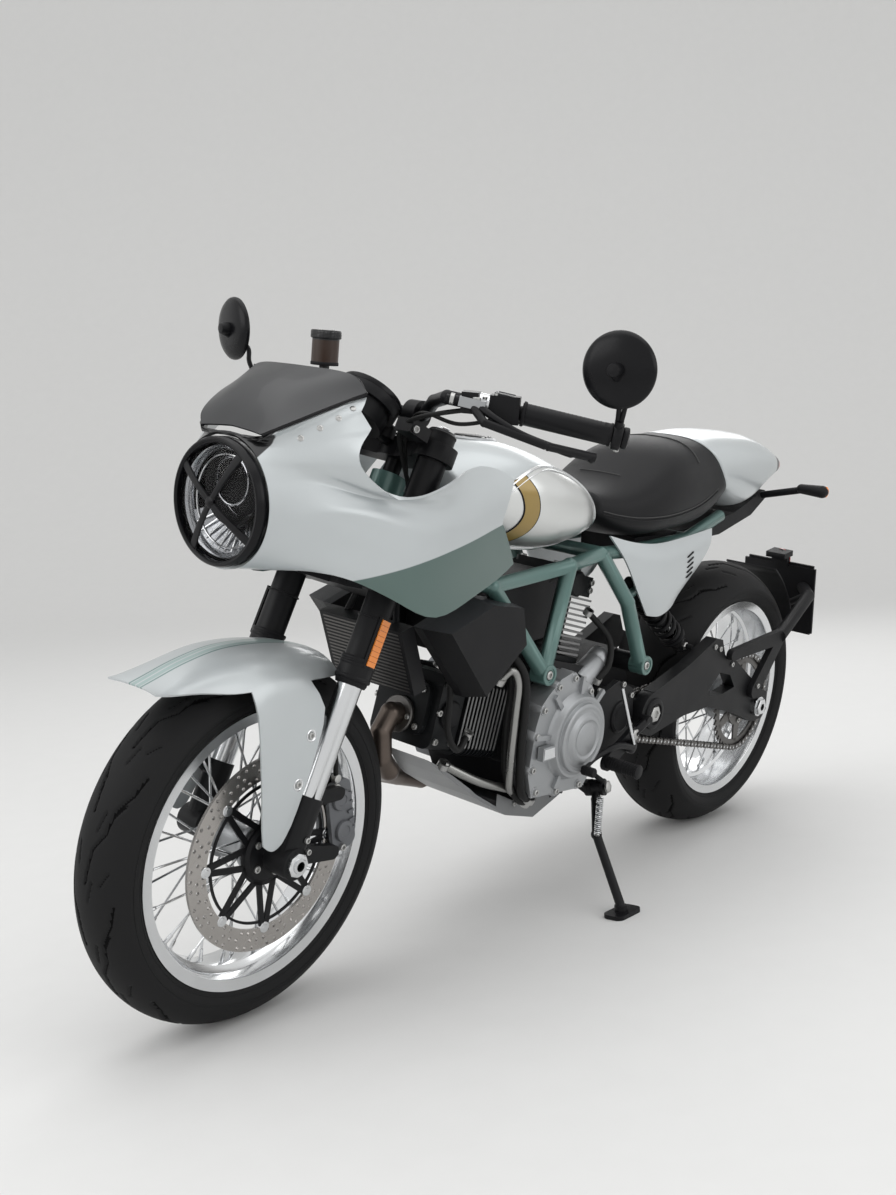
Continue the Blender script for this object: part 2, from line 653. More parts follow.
def nearest_on(node, point, direction):
    """First hit on a CAD node of a ray through point, in upright millimetres, or None."""
    if node not in TREES:
        mesh = frame["nodes"][node].data
        TREES[node] = BVHTree.FromPolygons([v.co for v in mesh.vertices],
                                           [list(p.vertices) for p in mesh.polygons])
    origin = Vector(put(np.asarray(point, float) - 300 * unit(direction)))
    location, normal, _, _ = TREES[node].ray_cast(origin, Vector(UPRIGHT @ unit(direction)))
    if location is None:
        return None, None
    return upright(location), UPRIGHT.T @ np.array(normal)


rivets = Piece("screen_rivets", "chassis", "bright_steel")
for x, y, z in ((1466, 112, 962), (1441, 122, 976), (1414, 130, 990), (1390, 136, 1006)):
    for s in SIDES:
        spot, normal = nearest_on("fairing", (x, s * y, z), (-0.1, -s, -0.55))
        if spot is not None:
            rivets.add(lathe([(4.8, -1.5), (4.8, 0.4), (3.8, 1.0), (2.2, 1.1), (1.8, 0.3), (0.01, 0.3)],
                             spot, normal, 16), "bolt")
rivets.done()


def lifted(rows, y_sign=1):
    return [[p[0], y_sign * p[1], p[2]] for p in rows]


SCREEN_EDGE = [(1506, 66, 954), (1479, 96, 974), (1424, 120, 1000), (1364, 133, 1022)]
SCREEN_TOP = [(1364, 133, 1022), (1366, 100, 1046), (1388, 0, 1051)]
screen_trim = Piece("screen_trim", "chassis", "black_plastic")
for s in SIDES:
    screen_trim.add(tube(smooth(lifted([(x, y, z + 3.6) for x, y, z in SCREEN_EDGE], s), 24), 2.6, 8),
                    "black_plastic")
top_edge = smooth([(x, y, z + 3.0) for x, y, z in SCREEN_TOP], 16)
top_line = np.concatenate([top_edge, (top_edge * [1, -1, 1])[::-1][1:]])
screen_trim.add(tube(top_line, 2.4, 8), "black_plastic")
screen_trim.done()

# ---- Seat: stitched seams over its padded shape ----
cushion = from_cad("seat", "seat_cushion", "chassis", ["leather"], levels=1)


def on_node(node, x, z, side=1):
    """Where a line across the machine at x, z first meets a node from that side."""
    spot, normal = nearest_on(node, (x, side * 320, z), (0, -side, 0))
    return spot, normal


def surface_line(node, xz, side, lift=0.0):
    path = []
    for x, z in xz:
        spot, normal = on_node(node, x, z, side)
        if spot is not None:
            path.append(spot + normal * lift)
    return np.array(path)


seams = Piece("seat_stitching", "chassis", "black_leather")
side_xz = smooth([(628, 800), (590, 792), (540, 787), (480, 788), (420, 793), (350, 802), (290, 815),
                  (240, 832)], 60)
for s in SIDES:
    for drop in (0, -6):
        line = surface_line("seat", [(x, z + drop) for x, z in side_xz], s, 0.2)
        if len(line) > 8:
            seams.add(tube(line, 1.5 if drop else 1.1, 6), "leather" if drop else "thread")
for x0 in (524, 330):
    over = []
    for k in range(33):
        a = radians(-78 + 156 * k / 32)
        spot, normal = nearest_on("seat", (x0, 0, 850 if x0 > 400 else 865),
                                  (0, -sin(a), -cos(a)))
        if spot is not None and normal is not None:
            over.append(spot + unit(normal) * 0.3)
    if len(over) > 8:
        seams.add(tube(over, 1.3, 6), "thread")
seams.done()

# ---- Tail: black end, hump seam, indicators' lenses ----
tail = Piece("tail_trim", "chassis", "black_plastic")
tail_loop = []
for k in range(48):
    a = 2 * pi * k / 48
    c, s = cos(a), sin(a)
    tail_loop.append([0, copysign(abs(s) ** 0.8, s), copysign(abs(c) ** 0.8, c)])
tail_loop = np.array(tail_loop)
sections = [(-119, 71, 893, 837, 865), (-126, 66, 887, 841, 864), (-128, 52, 880, 846, 863)]
rings = [np.array([x, 0, mid]) + tail_loop * [1, half, 1] * np.array(
    [[1, 1, (top - mid) if p[2] > 0 else (mid - low)] for p in tail_loop]) for x, half, top, low,
    mid in sections]
points, faces = grid(np.array(rings), closed=True)
tail.add((points, faces), "black_plastic")
tail.done()
lens = Piece("rear_indicator_lenses", "chassis", "amber_plastic")
lens.both(lathe([(0.01, -1), (10.4, -0.5), (12.6, 3), (12.8, 8), (11.5, 12.4), (7, 15), (0.01, 16)],
                (-37, 223, 828),
                (-0.25, 1, 0), 24), "amber")
lens.done()


# ---- Tyres: round crown with zigzag and slant grooves, bulged walls ----
def groove(lines, a, y, r):
    """Depth at an angle and place across the tread of the nearest groove in a repeating set."""
    deep = 0.0
    for count, phase, spots, width, depth in lines:
        u = (a / (2 * pi) * count + phase) % 1.0
        for (u0, y0), (u1, y1) in zip(spots, spots[1:]):
            scale = 2 * pi * r / count
            dx, dy = (u1 - u0) * scale, y1 - y0
            px, py = (u - u0) * scale, y - y0
            t = max(0.0, min(1.0, (px * dx + py * dy) / (dx * dx + dy * dy)))
            d = hypot(px - t * dx, py - t * dy)
            deep = max(deep, depth * max(0.0, min(1.0, (width - d) / 1.6)))
    return deep


def tyre(name, body, at, r, w, crown, rim_w, lines, steps):
    bead, rim, wall = BEAD_R, RIM_R, 9
    shoulder = r - crown + sqrt(crown ** 2 - (w / 2) ** 2)
    limit = asin(w / 2 / crown)

    def mix(a, b, s):
        return a + (b - a) * s
    left = [(bead + 0.6, rim_w / 2 - 6.6), (rim, rim_w / 2 - 3.2), (rim + 3, rim_w / 2 + 0.5),
            (rim + 8, mix(rim_w / 2, w / 2, 0.45)), (rim + 16, mix(rim_w / 2, w / 2, 0.84)),
            (mix(rim + 16, shoulder, 0.6), w / 2 - 0.6)]
    crown_steps = 76
    tread = []
    for k in range(crown_steps + 1):
        b = limit - 2 * limit * k / crown_steps
        tread.append((r - crown + crown * cos(b), crown * sin(b)))
    section = left + tread + [(p, -q) for p, q in left[::-1]]
    inner = [(bead + 0.6, -rim_w / 2 + 14), (rim + 8, -rim_w / 2 + 10), (shoulder - 4, -w / 2 + wall),
             (r - wall, 0), (shoulder - 4, w / 2 - wall), (rim + 8, rim_w / 2 - 10),
             (bead + 0.6, rim_w / 2 - 14)]
    rows, cuts = [], []
    for k in range(steps):
        a = 2 * pi * k / steps
        c, s = cos(a), sin(a)
        row = []
        cuts.append([groove(lines, a, y, r) for _, y in tread])
        for q, (rad, y) in enumerate(section):
            cut = cuts[k][q - len(left)] if len(left) <= q < len(left) + len(tread) else 0.0
            row.append([at[0] + (rad - cut) * c, at[1] + y, at[2] + (rad - cut) * s])
        for rad, y in inner:
            row.append([at[0] + rad * c, at[1] + y, at[2] + rad * s])
        rows.append(row)
    g = np.array(rows)
    m, n = g.shape[:2]
    faces = [[i * n + j, ((i + 1) % m) * n + j, ((i + 1) % m) * n + (j + 1) % n, i * n + (j + 1) % n]
             for i in range(m) for j in range(n)]
    piece = Piece(name, body, "tyre_rubber", [name.replace("_tread", "_tyre")])
    piece.add((g.reshape(-1, 3), faces), "tyre")
    piece.names.append("groove")
    first, last = len(left), len(left) + len(tread) - 1
    for i in range(m):
        for j in range(first, last):
            if min(cuts[i][j - first], cuts[(i + 1) % m][j + 1 - first]) > 1.0:
                piece.mats[i * n + j] = 1
    for s in SIDES:
        for rad, wire in ((rim + 7, 0.8), (mix(rim + 16, shoulder, 0.5), 0.7)):
            piece.add(ring(np.array(at) + [0,
                                           s * (mix(rim_w / 2, w / 2,
                                                    0.42 if rad < rim + 9 else 0.96) - 0.3), 0],
                           (0, 1, 0), rad, wire, 160, 6), "tyre")
    return piece.done(sharp=50)


def tread_lines(rows):
    """Grooves written for the left half of the tread, repeated on the right half a pitch further on."""
    return [(count, phase + turn, [(u, side * y) for u, y in spots], width, depth)
            for count, phase, spots, width, depth in rows for side, turn in ((1, 0.0), (-1, 0.5))]


FRONT_LINES = tread_lines([
    (9, 0.0, [(0.05, 6), (0.30, 12), (0.42, 26), (0.60, 30), (0.74, 42), (0.90, 46)], 2.7, 3.0),
    (18, 0.1, [(0.2, 30), (0.42, 40)], 2.3, 2.4), (18, 0.35, [(0.2, 12), (0.5, 18)], 2.2, 2.4)])
REAR_LINES = tread_lines([
    (9, 0.0, [(0.05, 10), (0.26, 20), (0.38, 42), (0.56, 50), (0.72, 66), (0.90, 72)], 3.2, 3.4),
    (18, 0.1, [(0.2, 44), (0.5, 62)], 2.6, 2.6), (18, 0.35, [(0.2, 18), (0.5, 28)], 2.5, 2.6)])
TYRE_STEPS = 900
tyre("front_tread", "front_wheel", FRONT_AXLE, FRONT_TYRE_R, FRONT_TYRE_W, FRONT_CROWN_R, FRONT_RIM_W,
     FRONT_LINES, TYRE_STEPS)
tyre("rear_tread", "rear_wheel", REAR_AXLE, REAR_TYRE_R, REAR_TYRE_W, REAR_CROWN_R, REAR_RIM_W, REAR_LINES,
     TYRE_STEPS)


# ---- Wire wheels ----
def wheel(name, body, at, rim_w, hub_half, flange_r, hub_r, left_extra, right_extra):
    bead, rim = BEAD_R, RIM_R
    e = rim_w / 2
    profile = [(rim, e), (rim + 0.6, e - 1.5), (rim, e - 3), (bead + 4, e - 5.4), (bead, e - 8),
               (bead, e - 24),
               (bead - 10, 15), (bead - 11, 12), (bead - 11, -12), (bead - 10, -15), (bead, -e + 24),
               (bead, -e + 8),
               (bead + 4, -e + 5.4), (rim, -e + 3), (rim + 0.6, -e + 1.5), (rim, -e), (rim - 3, -e + 0.6),
               (bead - 2, -e + 2.2), (bead - 3.5, -e + 5), (bead - 5, -e + 25), (bead - 9, -23),
               (bead - 15, -19),
               (bead - 16, -14), (bead - 16, 14), (bead - 15, 19), (bead - 9, 23), (bead - 5, e - 25),
               (bead - 3.5, e - 5),
               (bead - 2, e - 2.2), (rim - 3, e - 0.6), (rim, e)]
    p = Piece(name, body, "rim_metal", [name.replace("_wire", "_rim")])
    p.add(lathe(profile, at, (0, 1, 0), 144), "alloy")
    f = hub_half - 8
    hub = [(13, hub_half + left_extra), (hub_r - 3, hub_half + left_extra),
           (hub_r, hub_half + left_extra - 3),
           (hub_r, hub_half), (hub_r, f + 5), (flange_r + 4.5, f + 5), (flange_r + 6, f + 3.5),
           (flange_r + 6, f - 3.5),
           (flange_r + 4.5, f - 5), (hub_r + 5, f - 6), (hub_r - 1, f - 14), (hub_r - 3, 0),
           (hub_r - 1, -f + 14),
           (hub_r + 5, -f + 6), (flange_r + 4.5, -f + 5), (flange_r + 6, -f + 3.5),
           (flange_r + 6, -f - 3.5),
           (flange_r + 4.5, -f - 5), (hub_r, -f - 5), (hub_r, -hub_half - right_extra + 3),
           (hub_r - 3, -hub_half - right_extra), (13, -hub_half - right_extra)]
    p.add(lathe(hub, at, (0, 1, 0), 64), "silver_cast")
    at = np.asarray(at, float)
    for k in range(SPOKES):
        s = 1 if k % 2 == 0 else -1
        a = radians(360 / SPOKES * k)
        turn = 1 if (k // 2) % 2 == 0 else -1
        lace = turn * 2.3
        b = a + turn * radians(38)
        start = at + polar(flange_r, b, s * f + lace)
        end = at + polar(bead - 14, a, s * 6 + lace)
        run = end - start
        p.add(tube([start, end], 2.0, 8), "steel")
        head = start - unit(run) * 2
        p.add(tube([head, head + unit(run) * 6], 3.0, 8), "steel")
        nip = end - unit(run) * 20
        p.add(tube([nip, nip + unit(run) * 3, end - unit(run) * 2], [2.6, 3.3, 3.3], 8), "steel")
        p.add(tube([end - unit(run) * 4, end + unit(run) * 1], 4.6, 10), "steel")
    valve = at + [(bead - 15) * cos(0.9), 0, (bead - 15) * sin(0.9)]
    toward = unit(at - valve)
    p.add(tube([valve, valve + toward * 12, valve + toward * 13, valve + toward * 30, valve + toward * 31],
               [5, 5, 3.2, 3.2, 2.4], 12), "black_plastic")
    return p.done(sharp=35)


wheel("front_wire", "front_wheel", FRONT_AXLE, FRONT_RIM_W, hub_half=46, flange_r=34, hub_r=26,
      left_extra=10,
      right_extra=10)
wheel("rear_wire", "rear_wheel", REAR_AXLE, REAR_RIM_W, hub_half=56, flange_r=48, hub_r=40, left_extra=46,
      right_extra=45.4)


# ---- Drilled discs on their carriers ----
def drilled_ring(at, y0, y1, r_in, r_out, rows, count, hole, skip=()):
    """Flat annulus of cells, most with a round hole right through."""
    at = np.asarray(at, float)
    shapes = []
    for i in range(rows):
        ra, rb = r_in + (r_out - r_in) * i / rows, r_in + (r_out - r_in) * (i + 1) / rows
        for k in range(count):
            a0 = 2 * pi * (k + 0.5 * (i % 2)) / count
            a1 = a0 + 2 * pi / count
            am, rm = (a0 + a1) / 2, (ra + rb) / 2
            rim = [(ra, a0), (ra, am), (ra, a1), (rm, a1), (rb, a1), (rb, am), (rb, a0), (rm, a0)]
            outer = [(r * cos(a), r * sin(a)) for r, a in rim]
            cx, cz = rm * cos(am), rm * sin(am)
            solid = (k + 2 * i) % 4 in skip
            if solid:
                points = [at + [x, y, z] for y in (y1, y0) for x, z in outer]
                shapes.append((points, [list(range(8))[::-1], list(range(8, 16))]))
                continue
            start = [atan2(z - cz, x - cx) for x, z in outer]
            inner = [(cx + hole * cos(t), cz + hole * sin(t)) for t in start]
            points = [at + [x, y, z] for y in (y1, y0) for loop in (outer, inner) for x, z in loop]
            faces = []
            for j in range(8):
                n = (j + 1) % 8
                faces += [[j, n, 8 + n, 8 + j], [16 + j, 24 + j, 24 + n, 16 + n],
                          [8 + j, 8 + n, 24 + n, 24 + j]]
            shapes.append((points, faces))
    steps = count * 2
    for r in (r_in, r_out):
        rows_of = [[at + [r * cos(2 * pi * k / steps), y, r * sin(2 * pi * k / steps)]
                    for k in range(steps)] for y in (y0, y1)]
        shapes.append(grid(np.array(rows_of), closed=True))
    return merge(*shapes)


def arm_plate(at, y0, y1, inner_r, outer_r, a, width_in, width_out):
    at = np.asarray(at, float)
    c, s = polar(1, a), np.array([-sin(a), 0, cos(a)])
    shape = [(inner_r, -width_in / 2), (outer_r, -width_out / 2), (outer_r + width_out * 0.3, 0),
             (outer_r, width_out / 2), (inner_r, width_in / 2)]
    points = [at + c * r + s * w + [0, y, 0] for y in (y0, y1) for r, w in shape]
    n = len(shape)
    return np.array(points), [list(range(n))[::-1], list(range(n, 2 * n))] + [
        [j, (j + 1) % n, n + (j + 1) % n, n + j] for j in range(n)]


def brake_disc(name, node, body, at, y, r, inner, hub, count):
    at = np.asarray(at, float)
    p = Piece(name, body, "disc_steel", [node])
    p.add(drilled_ring(at, y - 2.5, y + 2.5, inner, r, 3, count, 3.3, (1,)), "disc")
    arms = 8
    for k in range(arms):
        a = 2 * pi * k / arms
        for lean_by in (-0.34, 0.34):
            low = at + [(hub - 3) * cos(a + lean_by), y, (hub - 3) * sin(a + lean_by)]
            high = at + [(inner - 4) * cos(a + lean_by * 0.1), y,
                                            (inner - 4) * sin(a + lean_by * 0.1)]
            p.add(block((low + high) / 2, (np.linalg.norm(high - low), 3.8, 10), high - low,
                        np.cross(high - low, (0, 1, 0))), "black_satin")
        p.add(arm_plate(at, y - 2.1, y + 2.1, inner - 10, inner + 3, a, 22, 15), "black_satin")
        spot = at + polar(inner + 1, a, y)
        p.add(lathe([(0.01, 4.9), (4.5, 4.9), (5, 4.2), (8.6, 4.0), (9.4, 3.0), (9.4, -3.0), (8.6, -4.0),
                     (5, -4.2),
                     (0.01, -4.9)], spot, (0, 1, 0), 20), "steel")
    p.add(lathe([(18, 7), (hub - 6, 7), (hub - 3, 4), (hub - 1, 1.9), (hub + 4, 1.9), (hub + 4, -1.9),
                 (hub - 2, -1.9),
                 (hub - 5, -7), (18, -7), (18, 7)], at + [0, y, 0], (0, 1, 0), 48), "black_satin")
    p.add(lathe([(inner - 12, 1.7), (inner - 8, 1.7), (inner - 8, -1.7), (inner - 12, -1.7),
                 (inner - 12, 1.7)],
                at + [0, y, 0], (0, 1, 0), 80), "black_satin")
    for k in range(5):
        a = 2 * pi * (k + 0.5) / 5
        spot = at + [34 * cos(a), y + copysign(6.5, y), 34 * sin(a)]
        p.add(bolt(spot, (0, copysign(1, y), 0), 6, 4), "bolt")
    return p.done(sharp=30)


brake_disc("front_disc_drilled", "front_disc", "front_wheel", FRONT_AXLE, FRONT_DISC_Y, FRONT_DISC_R,
           inner=126,
           hub=50, count=60)
brake_disc("rear_disc_drilled", "rear_disc", "rear_wheel", REAR_AXLE, REAR_DISC_Y, REAR_DISC_R, inner=90,
           hub=50, count=48)

# ---- Headlight: ring, optics behind the glass, and its crossed bars ----
LAMP = np.array([1523.0, 0, 852])
lamp = Piece("headlight_optics", "chassis", "black_plastic", mat="reflector")
lamp.add(lathe([(87, -1), (84, -14), (80, -40), (66, -58), (30, -66), (0.01, -68)], LAMP, (1, 0, 0), 64),
         "groove")
lamp.add(lathe([(62, -26), (60, -22), (57, -24), (46, -44), (24, -54), (0.01, -56)], LAMP + [0, 0, 22],
               (1, 0, 0), 48), "black_satin")
lamp.add(lathe([(86, -4), (83, -3), (80, -6), (77, -16), (79, -18), (86, -10)], LAMP, (1, 0, 0), 72))
lamp.add(lathe([(34, -26), (33, -14), (27, -7), (14, -2), (0.01, 0)], LAMP + [0, 0, 30], (1, 0, 0), 40),
         "glass")
lamp.add(ring(LAMP + [-24, 0, 30], (1, 0, 0), 36, 2.4, 48, 8))
lamp.add(ring(LAMP + [-16, 0, 0], (1, 0, 0), 70, 1.6, 72, 8), "alloy")
bowl = []
for i in range(9):
    t = i / 8
    row = []
    for j in range(25):
        a = radians(198 + 144 * j / 24)
        rad = 78 - 46 * t
        row.append(LAMP + [-14 - 30 * sin(t * 1.5), rad * cos(a),
                           rad * sin(a) * (1 - 0.25 * t)])
    bowl.append(row)
lamp.add(grid(bowl))
for j in range(11):
    a = radians(212 + 116 * j / 10)
    p0 = LAMP + [-15, 76 * cos(a), 76 * sin(a)]
    p1 = LAMP + [-40, 38 * cos(a), 32 * sin(a)]
    lamp.add(tube([p0, p1], 1.6, 6), "alloy")
for j in range(14):
    a = 2 * pi * j / 14 + 0.1
    lamp.add(tube([LAMP + [-13, 79 * cos(a), 79 * sin(a)],
                   LAMP + [-13, 84 * cos(a), 84 * sin(a)]],
                  1.2, 6), "alloy")
lamp.done()


def lamp_bulge(r):
    ball = (LAMP_R ** 2 + 12 ** 2) / 24
    return sqrt(ball ** 2 - r * r) - ball + 15


bars = Piece("headlight_cross", "chassis", "black_plastic")
for turn in (57, -33):
    a = radians(turn)
    path, across = [], np.array([0, -sin(a), cos(a)])
    rows = []
    for k in range(25):
        r = -89 + 178 * k / 24
        base = LAMP + [lamp_bulge(min(abs(r), 87)) + 1.0, r * cos(a), r * sin(a)]
        w = 6.8 - 2.2 * cos(pi * r / 178)
        rows.append([base - across * w, base - across * w + [2.6, 0, 0], base + [3.8, 0, 0],
                     base + across * w + [2.6, 0, 0], base + across * w])
    points, faces = grid(rows, closed=True)
    n = 5
    faces += [list(range(n)), list(range(24 * n, 25 * n))[::-1]]
    bars.add((points, faces), "black_satin")
bars.add(lathe([(9, 14.5), (9, 19), (6, 20.5), (0.01, 20.8)], LAMP, (1, 0, 0), 24), "black_gloss")
bars.add(lathe([(88.4, 7), (90, 9.2), (93, 10), (95.5, 8.6), (97.4, 4)], LAMP, (1, 0, 0), 96),
         "black_gloss")
bars.done()

# ---- Fork: reflectors, caps, seals, hoses and the brake's details ----
fork = Piece("fork_details", "steering", "black_paint", mat="black_satin")
fork_axis = np.array([-sin(RAKE), 0, cos(RAKE)])
ahead = polar(1, RAKE)
for s in SIDES:
    fork.add(lathe([(25.6, 0), (25.6, 3), (23, 5), (21, 8), (14, 8.6), (14, 6), (0.01, 6)],
                   fork_point(FORK_X, s * FORK_Y, 157),
                   fork_axis, 36))
    fork.add(lathe([(13, 5), (13, 13), (11, 14), (0.01, 14)], fork_point(FORK_X, s * FORK_Y, 157),
                   fork_axis, 6), "alloy")
    for z in (-262, -240, -232):
        fork.add(lathe([(28.6, 0), (29.6, 1.5), (29.6, 5), (28.6, 6.5)], fork_point(FORK_X, s * FORK_Y, z),
                       fork_axis, 40))
    fork.add(lathe([(20.6, 0), (24.5, 0), (26.5, 5), (26.5, 9)], fork_point(FORK_X, s * FORK_Y, -271),
                   fork_axis, 40), "rubber")
    for z in (-102, 124):
        fork.add(bolt(fork_point(FORK_X - 30, s * 96, z), -ahead, 6, 6), "bolt")
    centre = fork_point(FORK_X + 3, s * 131.2, -196)
    fork.add(block(centre, (24, 5, 84), ahead, fork_axis), "black_plastic")
    for k in range(-4, 5):
        fork.add(block(centre + [0, s * 3.2, 0] + fork_axis * k * 8.6, (19, 3, 8.2), ahead, fork_axis),
                 "amber")
    fork.add(ring(fork_point(FORK_X, s * FORK_Y, -159), fork_axis, 25.8, 1.6, 40, 8), "black_plastic")
    fork.add(ring(fork_point(FORK_X, s * FORK_Y, -233), fork_axis, 26.0, 1.6, 40, 8), "black_plastic")
    for dx in (-10, 10):
        fork.add(bolt(FRONT_AXLE + [-20 + dx * 0.2, s * 130.2, 26 + dx], (0, s, 0), 5, 5), "bolt")
    fork.add(lathe([(13, 0), (19, 0), (20, 1.5), (20, 6), (18, 8), (15, 8.4), (9, 8.4)],
                   FRONT_AXLE + [0, s * 129, 0],
                   (0, s, 0), 8), "alloy")
fork.add(lathe([(31, 0), (31, 6), (26, 9), (17, 9), (17, 16), (15, 17), (9, 17), (9, 10), (0.01, 10)],
               fork_point(0, 0, 140), fork_axis, 32))
fork.add(lathe([(18, 0), (18, 20), (15, 23), (0.01, 23)], fork_point(48, 0, 134), fork_axis, 28),
         "black_plastic")
for s in SIDES:
    fork.add(block((1222, s * 104, 967), (48, 34, 22), ahead, fork_axis))
    fork.add(bolt((1236, s * 122, 970), (0.2, s, 0.1), 6, 4), "bolt")
fork.done(bevel=1.0)

caliper = Piece("front_caliper_details", "steering", "cast_grey")
cal = FRONT_AXLE + [-146, 81, 32]
tilt_x, tilt_z = unit([0.978, 0, -0.208]), unit([0.208, 0, 0.978])
for k in (-1, 1):
    spot = cal + tilt_z * 29 * k
    caliper.add(lathe([(19, -3), (19, 2), (17, 5), (10, 6), (9, 4.4), (0.01, 4.4)], spot, (0, 1, 0), 32),
                "grey_cast")
    caliper.add(bolt(cal + tilt_z * 56 * k + tilt_x * 8, (0, 1, 0), 6, 6), "bolt")
for k in (-2, -1, 0, 1, 2):
    caliper.add(block(cal + tilt_z * 16 * k + tilt_x * -19 + [0, -14, 0], (12, 34, 5), tilt_x, tilt_z),
                "grey_cast")
caliper.add(tube([cal + tilt_z * -46 + [0, -8, 0] + tilt_x * -14,
                  cal + tilt_z * 46 + [0, -8, 0] + tilt_x * -14], 4, 12), "steel")
caliper.done(bevel=0.8)

hoses = Piece("front_hoses", "steering", "black_plastic", mat="hose")
banjo = cal + tilt_z * 66 + [0, -6, 0]
hoses.add(tube(smooth([banjo, banjo + [6, 2, 34], [1336, 88, 520], fork_point(-12, 92, -250),
                       fork_point(-6, 76, -150),
                       fork_point(2, 56, -104)], 60), 4.2, 10))
hoses.add(lathe([(7.5, -5), (7.5, 5), (5, 6), (0.01, 6)], banjo, (0, 1, 0), 12), "bolt")
hoses.add(tube(smooth([fork_point(2, 56, -104), fork_point(0, 60, -40), fork_point(0, 66, 60),
                       fork_point(-8, 68, 132)],
                      40), 4.2, 10))
for path, r, sides in (
        ([[1204, 214, 1012], [1236, 168, 1000], [1243, 120, 985], [1216, 72, 962], [1200, 62, 930],
          fork_point(2, 60, 60)], 4.0, 10),
        ([[1186, 250, 1000], [1214, 190, 986], [1222, 130, 996], [1200, 84, 984], [1196, 66, 950],
          fork_point(6, 52, 70)], 3.2, 8),
        ([[1200, -214, 1016], [1238, -160, 1006], [1240, -104, 990], [1214, -64, 962], [1200, -60, 930],
          fork_point(2, -58, 60)], 4.0, 10)):
    hoses.add(tube(smooth(path, 60), r, sides))
hoses.done()

# ---- Bars: grips, levers, switchgear, mirrors ----
GRIP, END = np.array([1176, 280, 1012.0]), np.array([1082, 414, 988.0])
along = unit(END - GRIP)
level = unit([-along[1], along[0], 0])
MIRROR = np.array([1145, 426, 1091.0])
look = unit([-1, -0.25, 0.05])


def grip_profile(length):
    profile = [(11, 0), (19, 0.5), (19.5, 3), (19, 5), (17, 6)]
    steps = int((length - 16) / 3.2)
    for k in range(steps):
        profile.append((17.1 if k % 2 else 16.3, 8 + 3.2 * k))
    return profile + [(17, length - 5), (18.2, length - 3), (18, length - 0.5), (12, length)]


controls = Piece("bar_controls", "steering", "black_plastic", mat="black_satin")
controls.both(lathe(grip_profile(140), GRIP + along * 0.5, along, 36), "rubber")
controls.both(lathe([(11, 0), (15.2, 0.5), (16.8, 2.5), (17, 8), (16, 10), (10, 11.5), (6, 11.5), (5, 9),
                     (0.01, 9)],
                    END - along * 10, along, 32))
box = GRIP - along * 26
for dy, dz, w, h, key in ((0, 17, 26, 14, "grey_plastic"), (8, 6, 9, 7, "red"),
                          (-8, 4, 11, 8, "grey_plastic"), (0, -9, 18, 8, "grey_plastic")):
    controls.both(block(box + along * dy + level * 21 + [0, 0, dz], (w, 8, h), along, (0, 0, 1)), key)
controls.both(block(box + [0, 0, 21], (34, 36, 4), along, (0, 0, 1)), "grey_plastic")
controls.both(tube([box + [0, 0, 22] - level * 18 - along * 14,
                    box + [0, 0, 22] - level * 18 - along * 14 - [0, 0, 44]], 3, 8), "bolt")
perch = GRIP - along * 62
controls.both(tube([perch - along * 11, perch + along * 11], 16.5, 28), "alloy")
controls.both(block(perch - level * 20, (24, 20, 18), along, (0, 0, 1)), "alloy")
controls.both(tube([perch - level * 20 - along * 4, perch - level * 38 - along * 12 + [0, 0, -4]], [9, 8],
                   16), "silver_cast")
controls.both(block(perch - level * 34 - along * 12, (40, 24, 15), along, (0, 0, 1)), "silver_cast")
controls.both(bolt(perch - level * 36 - along * 6 + [0, 0, 7], (0, 0, 1), 7, 4), "bolt")
controls.both(bolt(perch - level * 12 + along * 5 + [0, 0, 9], (0, 0, 1), 4, 4), "bolt")
controls.both(tube([perch - level * 34 - along * 30, perch - level * 36 - along * 52], [7, 5], 14))
controls.both(tube([perch - level * 36 - along * 40, perch - level * 36 - along * 46], 9, 14), "bolt")
lever = smooth([perch - level * 36 - along * 4 + [0, 0, -1], perch - level * 52 + along * 24 + [0, 0, -12],
                perch - level * 60 + along * 70 + [0, 0, -26],
                perch - level * 50 + along * 130 + [0, 0, -36],
                perch - level * 33 + along * 172 + [0, 0, -38]], 40)
widths = [7.4 - 2.6 * sin(pi * min(1, k / 34)) if k < 34 else 5.6 for k in range(41)]
controls.both(tube(lever, widths, 12))
controls.both(lathe([(0.01, -8), (5, -6.6), (7.8, -2), (7.8, 2), (5, 6.6), (0.01, 8)],
                    lever[-1] + along * 3, along, 20))
controls.done(bevel=1.2)

mirror = Piece("bar_end_mirrors", "steering", "black_paint", ["mirrors"], mat="black_satin")
mirror.both(lathe([(0.01, -10), (22, -9.4), (40, -7), (52, -3.2), (56.6, 1), (57.4, 4), (57, 6.4), (55, 7),
                   (53, 6.6), (52.6, 5)],
                  MIRROR, look, 72), "black_gloss")
mirror.both(lathe([(53, 5.2), (30, 5.8), (0.01, 6.0)], MIRROR, look, 64), "mirror")
mirror.both(lathe([(0.01, -26), (9, -25), (11, -20), (11.5, -9)], MIRROR, look, 24))
clamp = GRIP + (END - GRIP) * 0.9
mirror.both(lathe([(11.3, -7), (20, -7), (21, -5.5), (21, 5.5), (20, 7), (11.3, 7)], clamp, along, 36))
mirror.both(bolt(clamp + [-10, -6, -20], (-0.3, -0.2, -1), 4.5, 4), "bolt")
stalk = smooth([clamp + [8, 6, 14], clamp + [18, 15, 42], clamp + [22, 20, 70],
                MIRROR - 20 * look + [0, 0, -4]], 30)
for shift in (-4.4, 4.4):
    bow = [p + along * shift * sin(pi * (0.12 + 0.76 * k / 30)) for k, p in enumerate(stalk)]
    mirror.both(tube(bow, 3.9, 10))
mirror.both(tube(stalk[:5], 7, 12))
mirror.both(tube(stalk[-5:], 7, 12))
mirror.done(sharp=60)

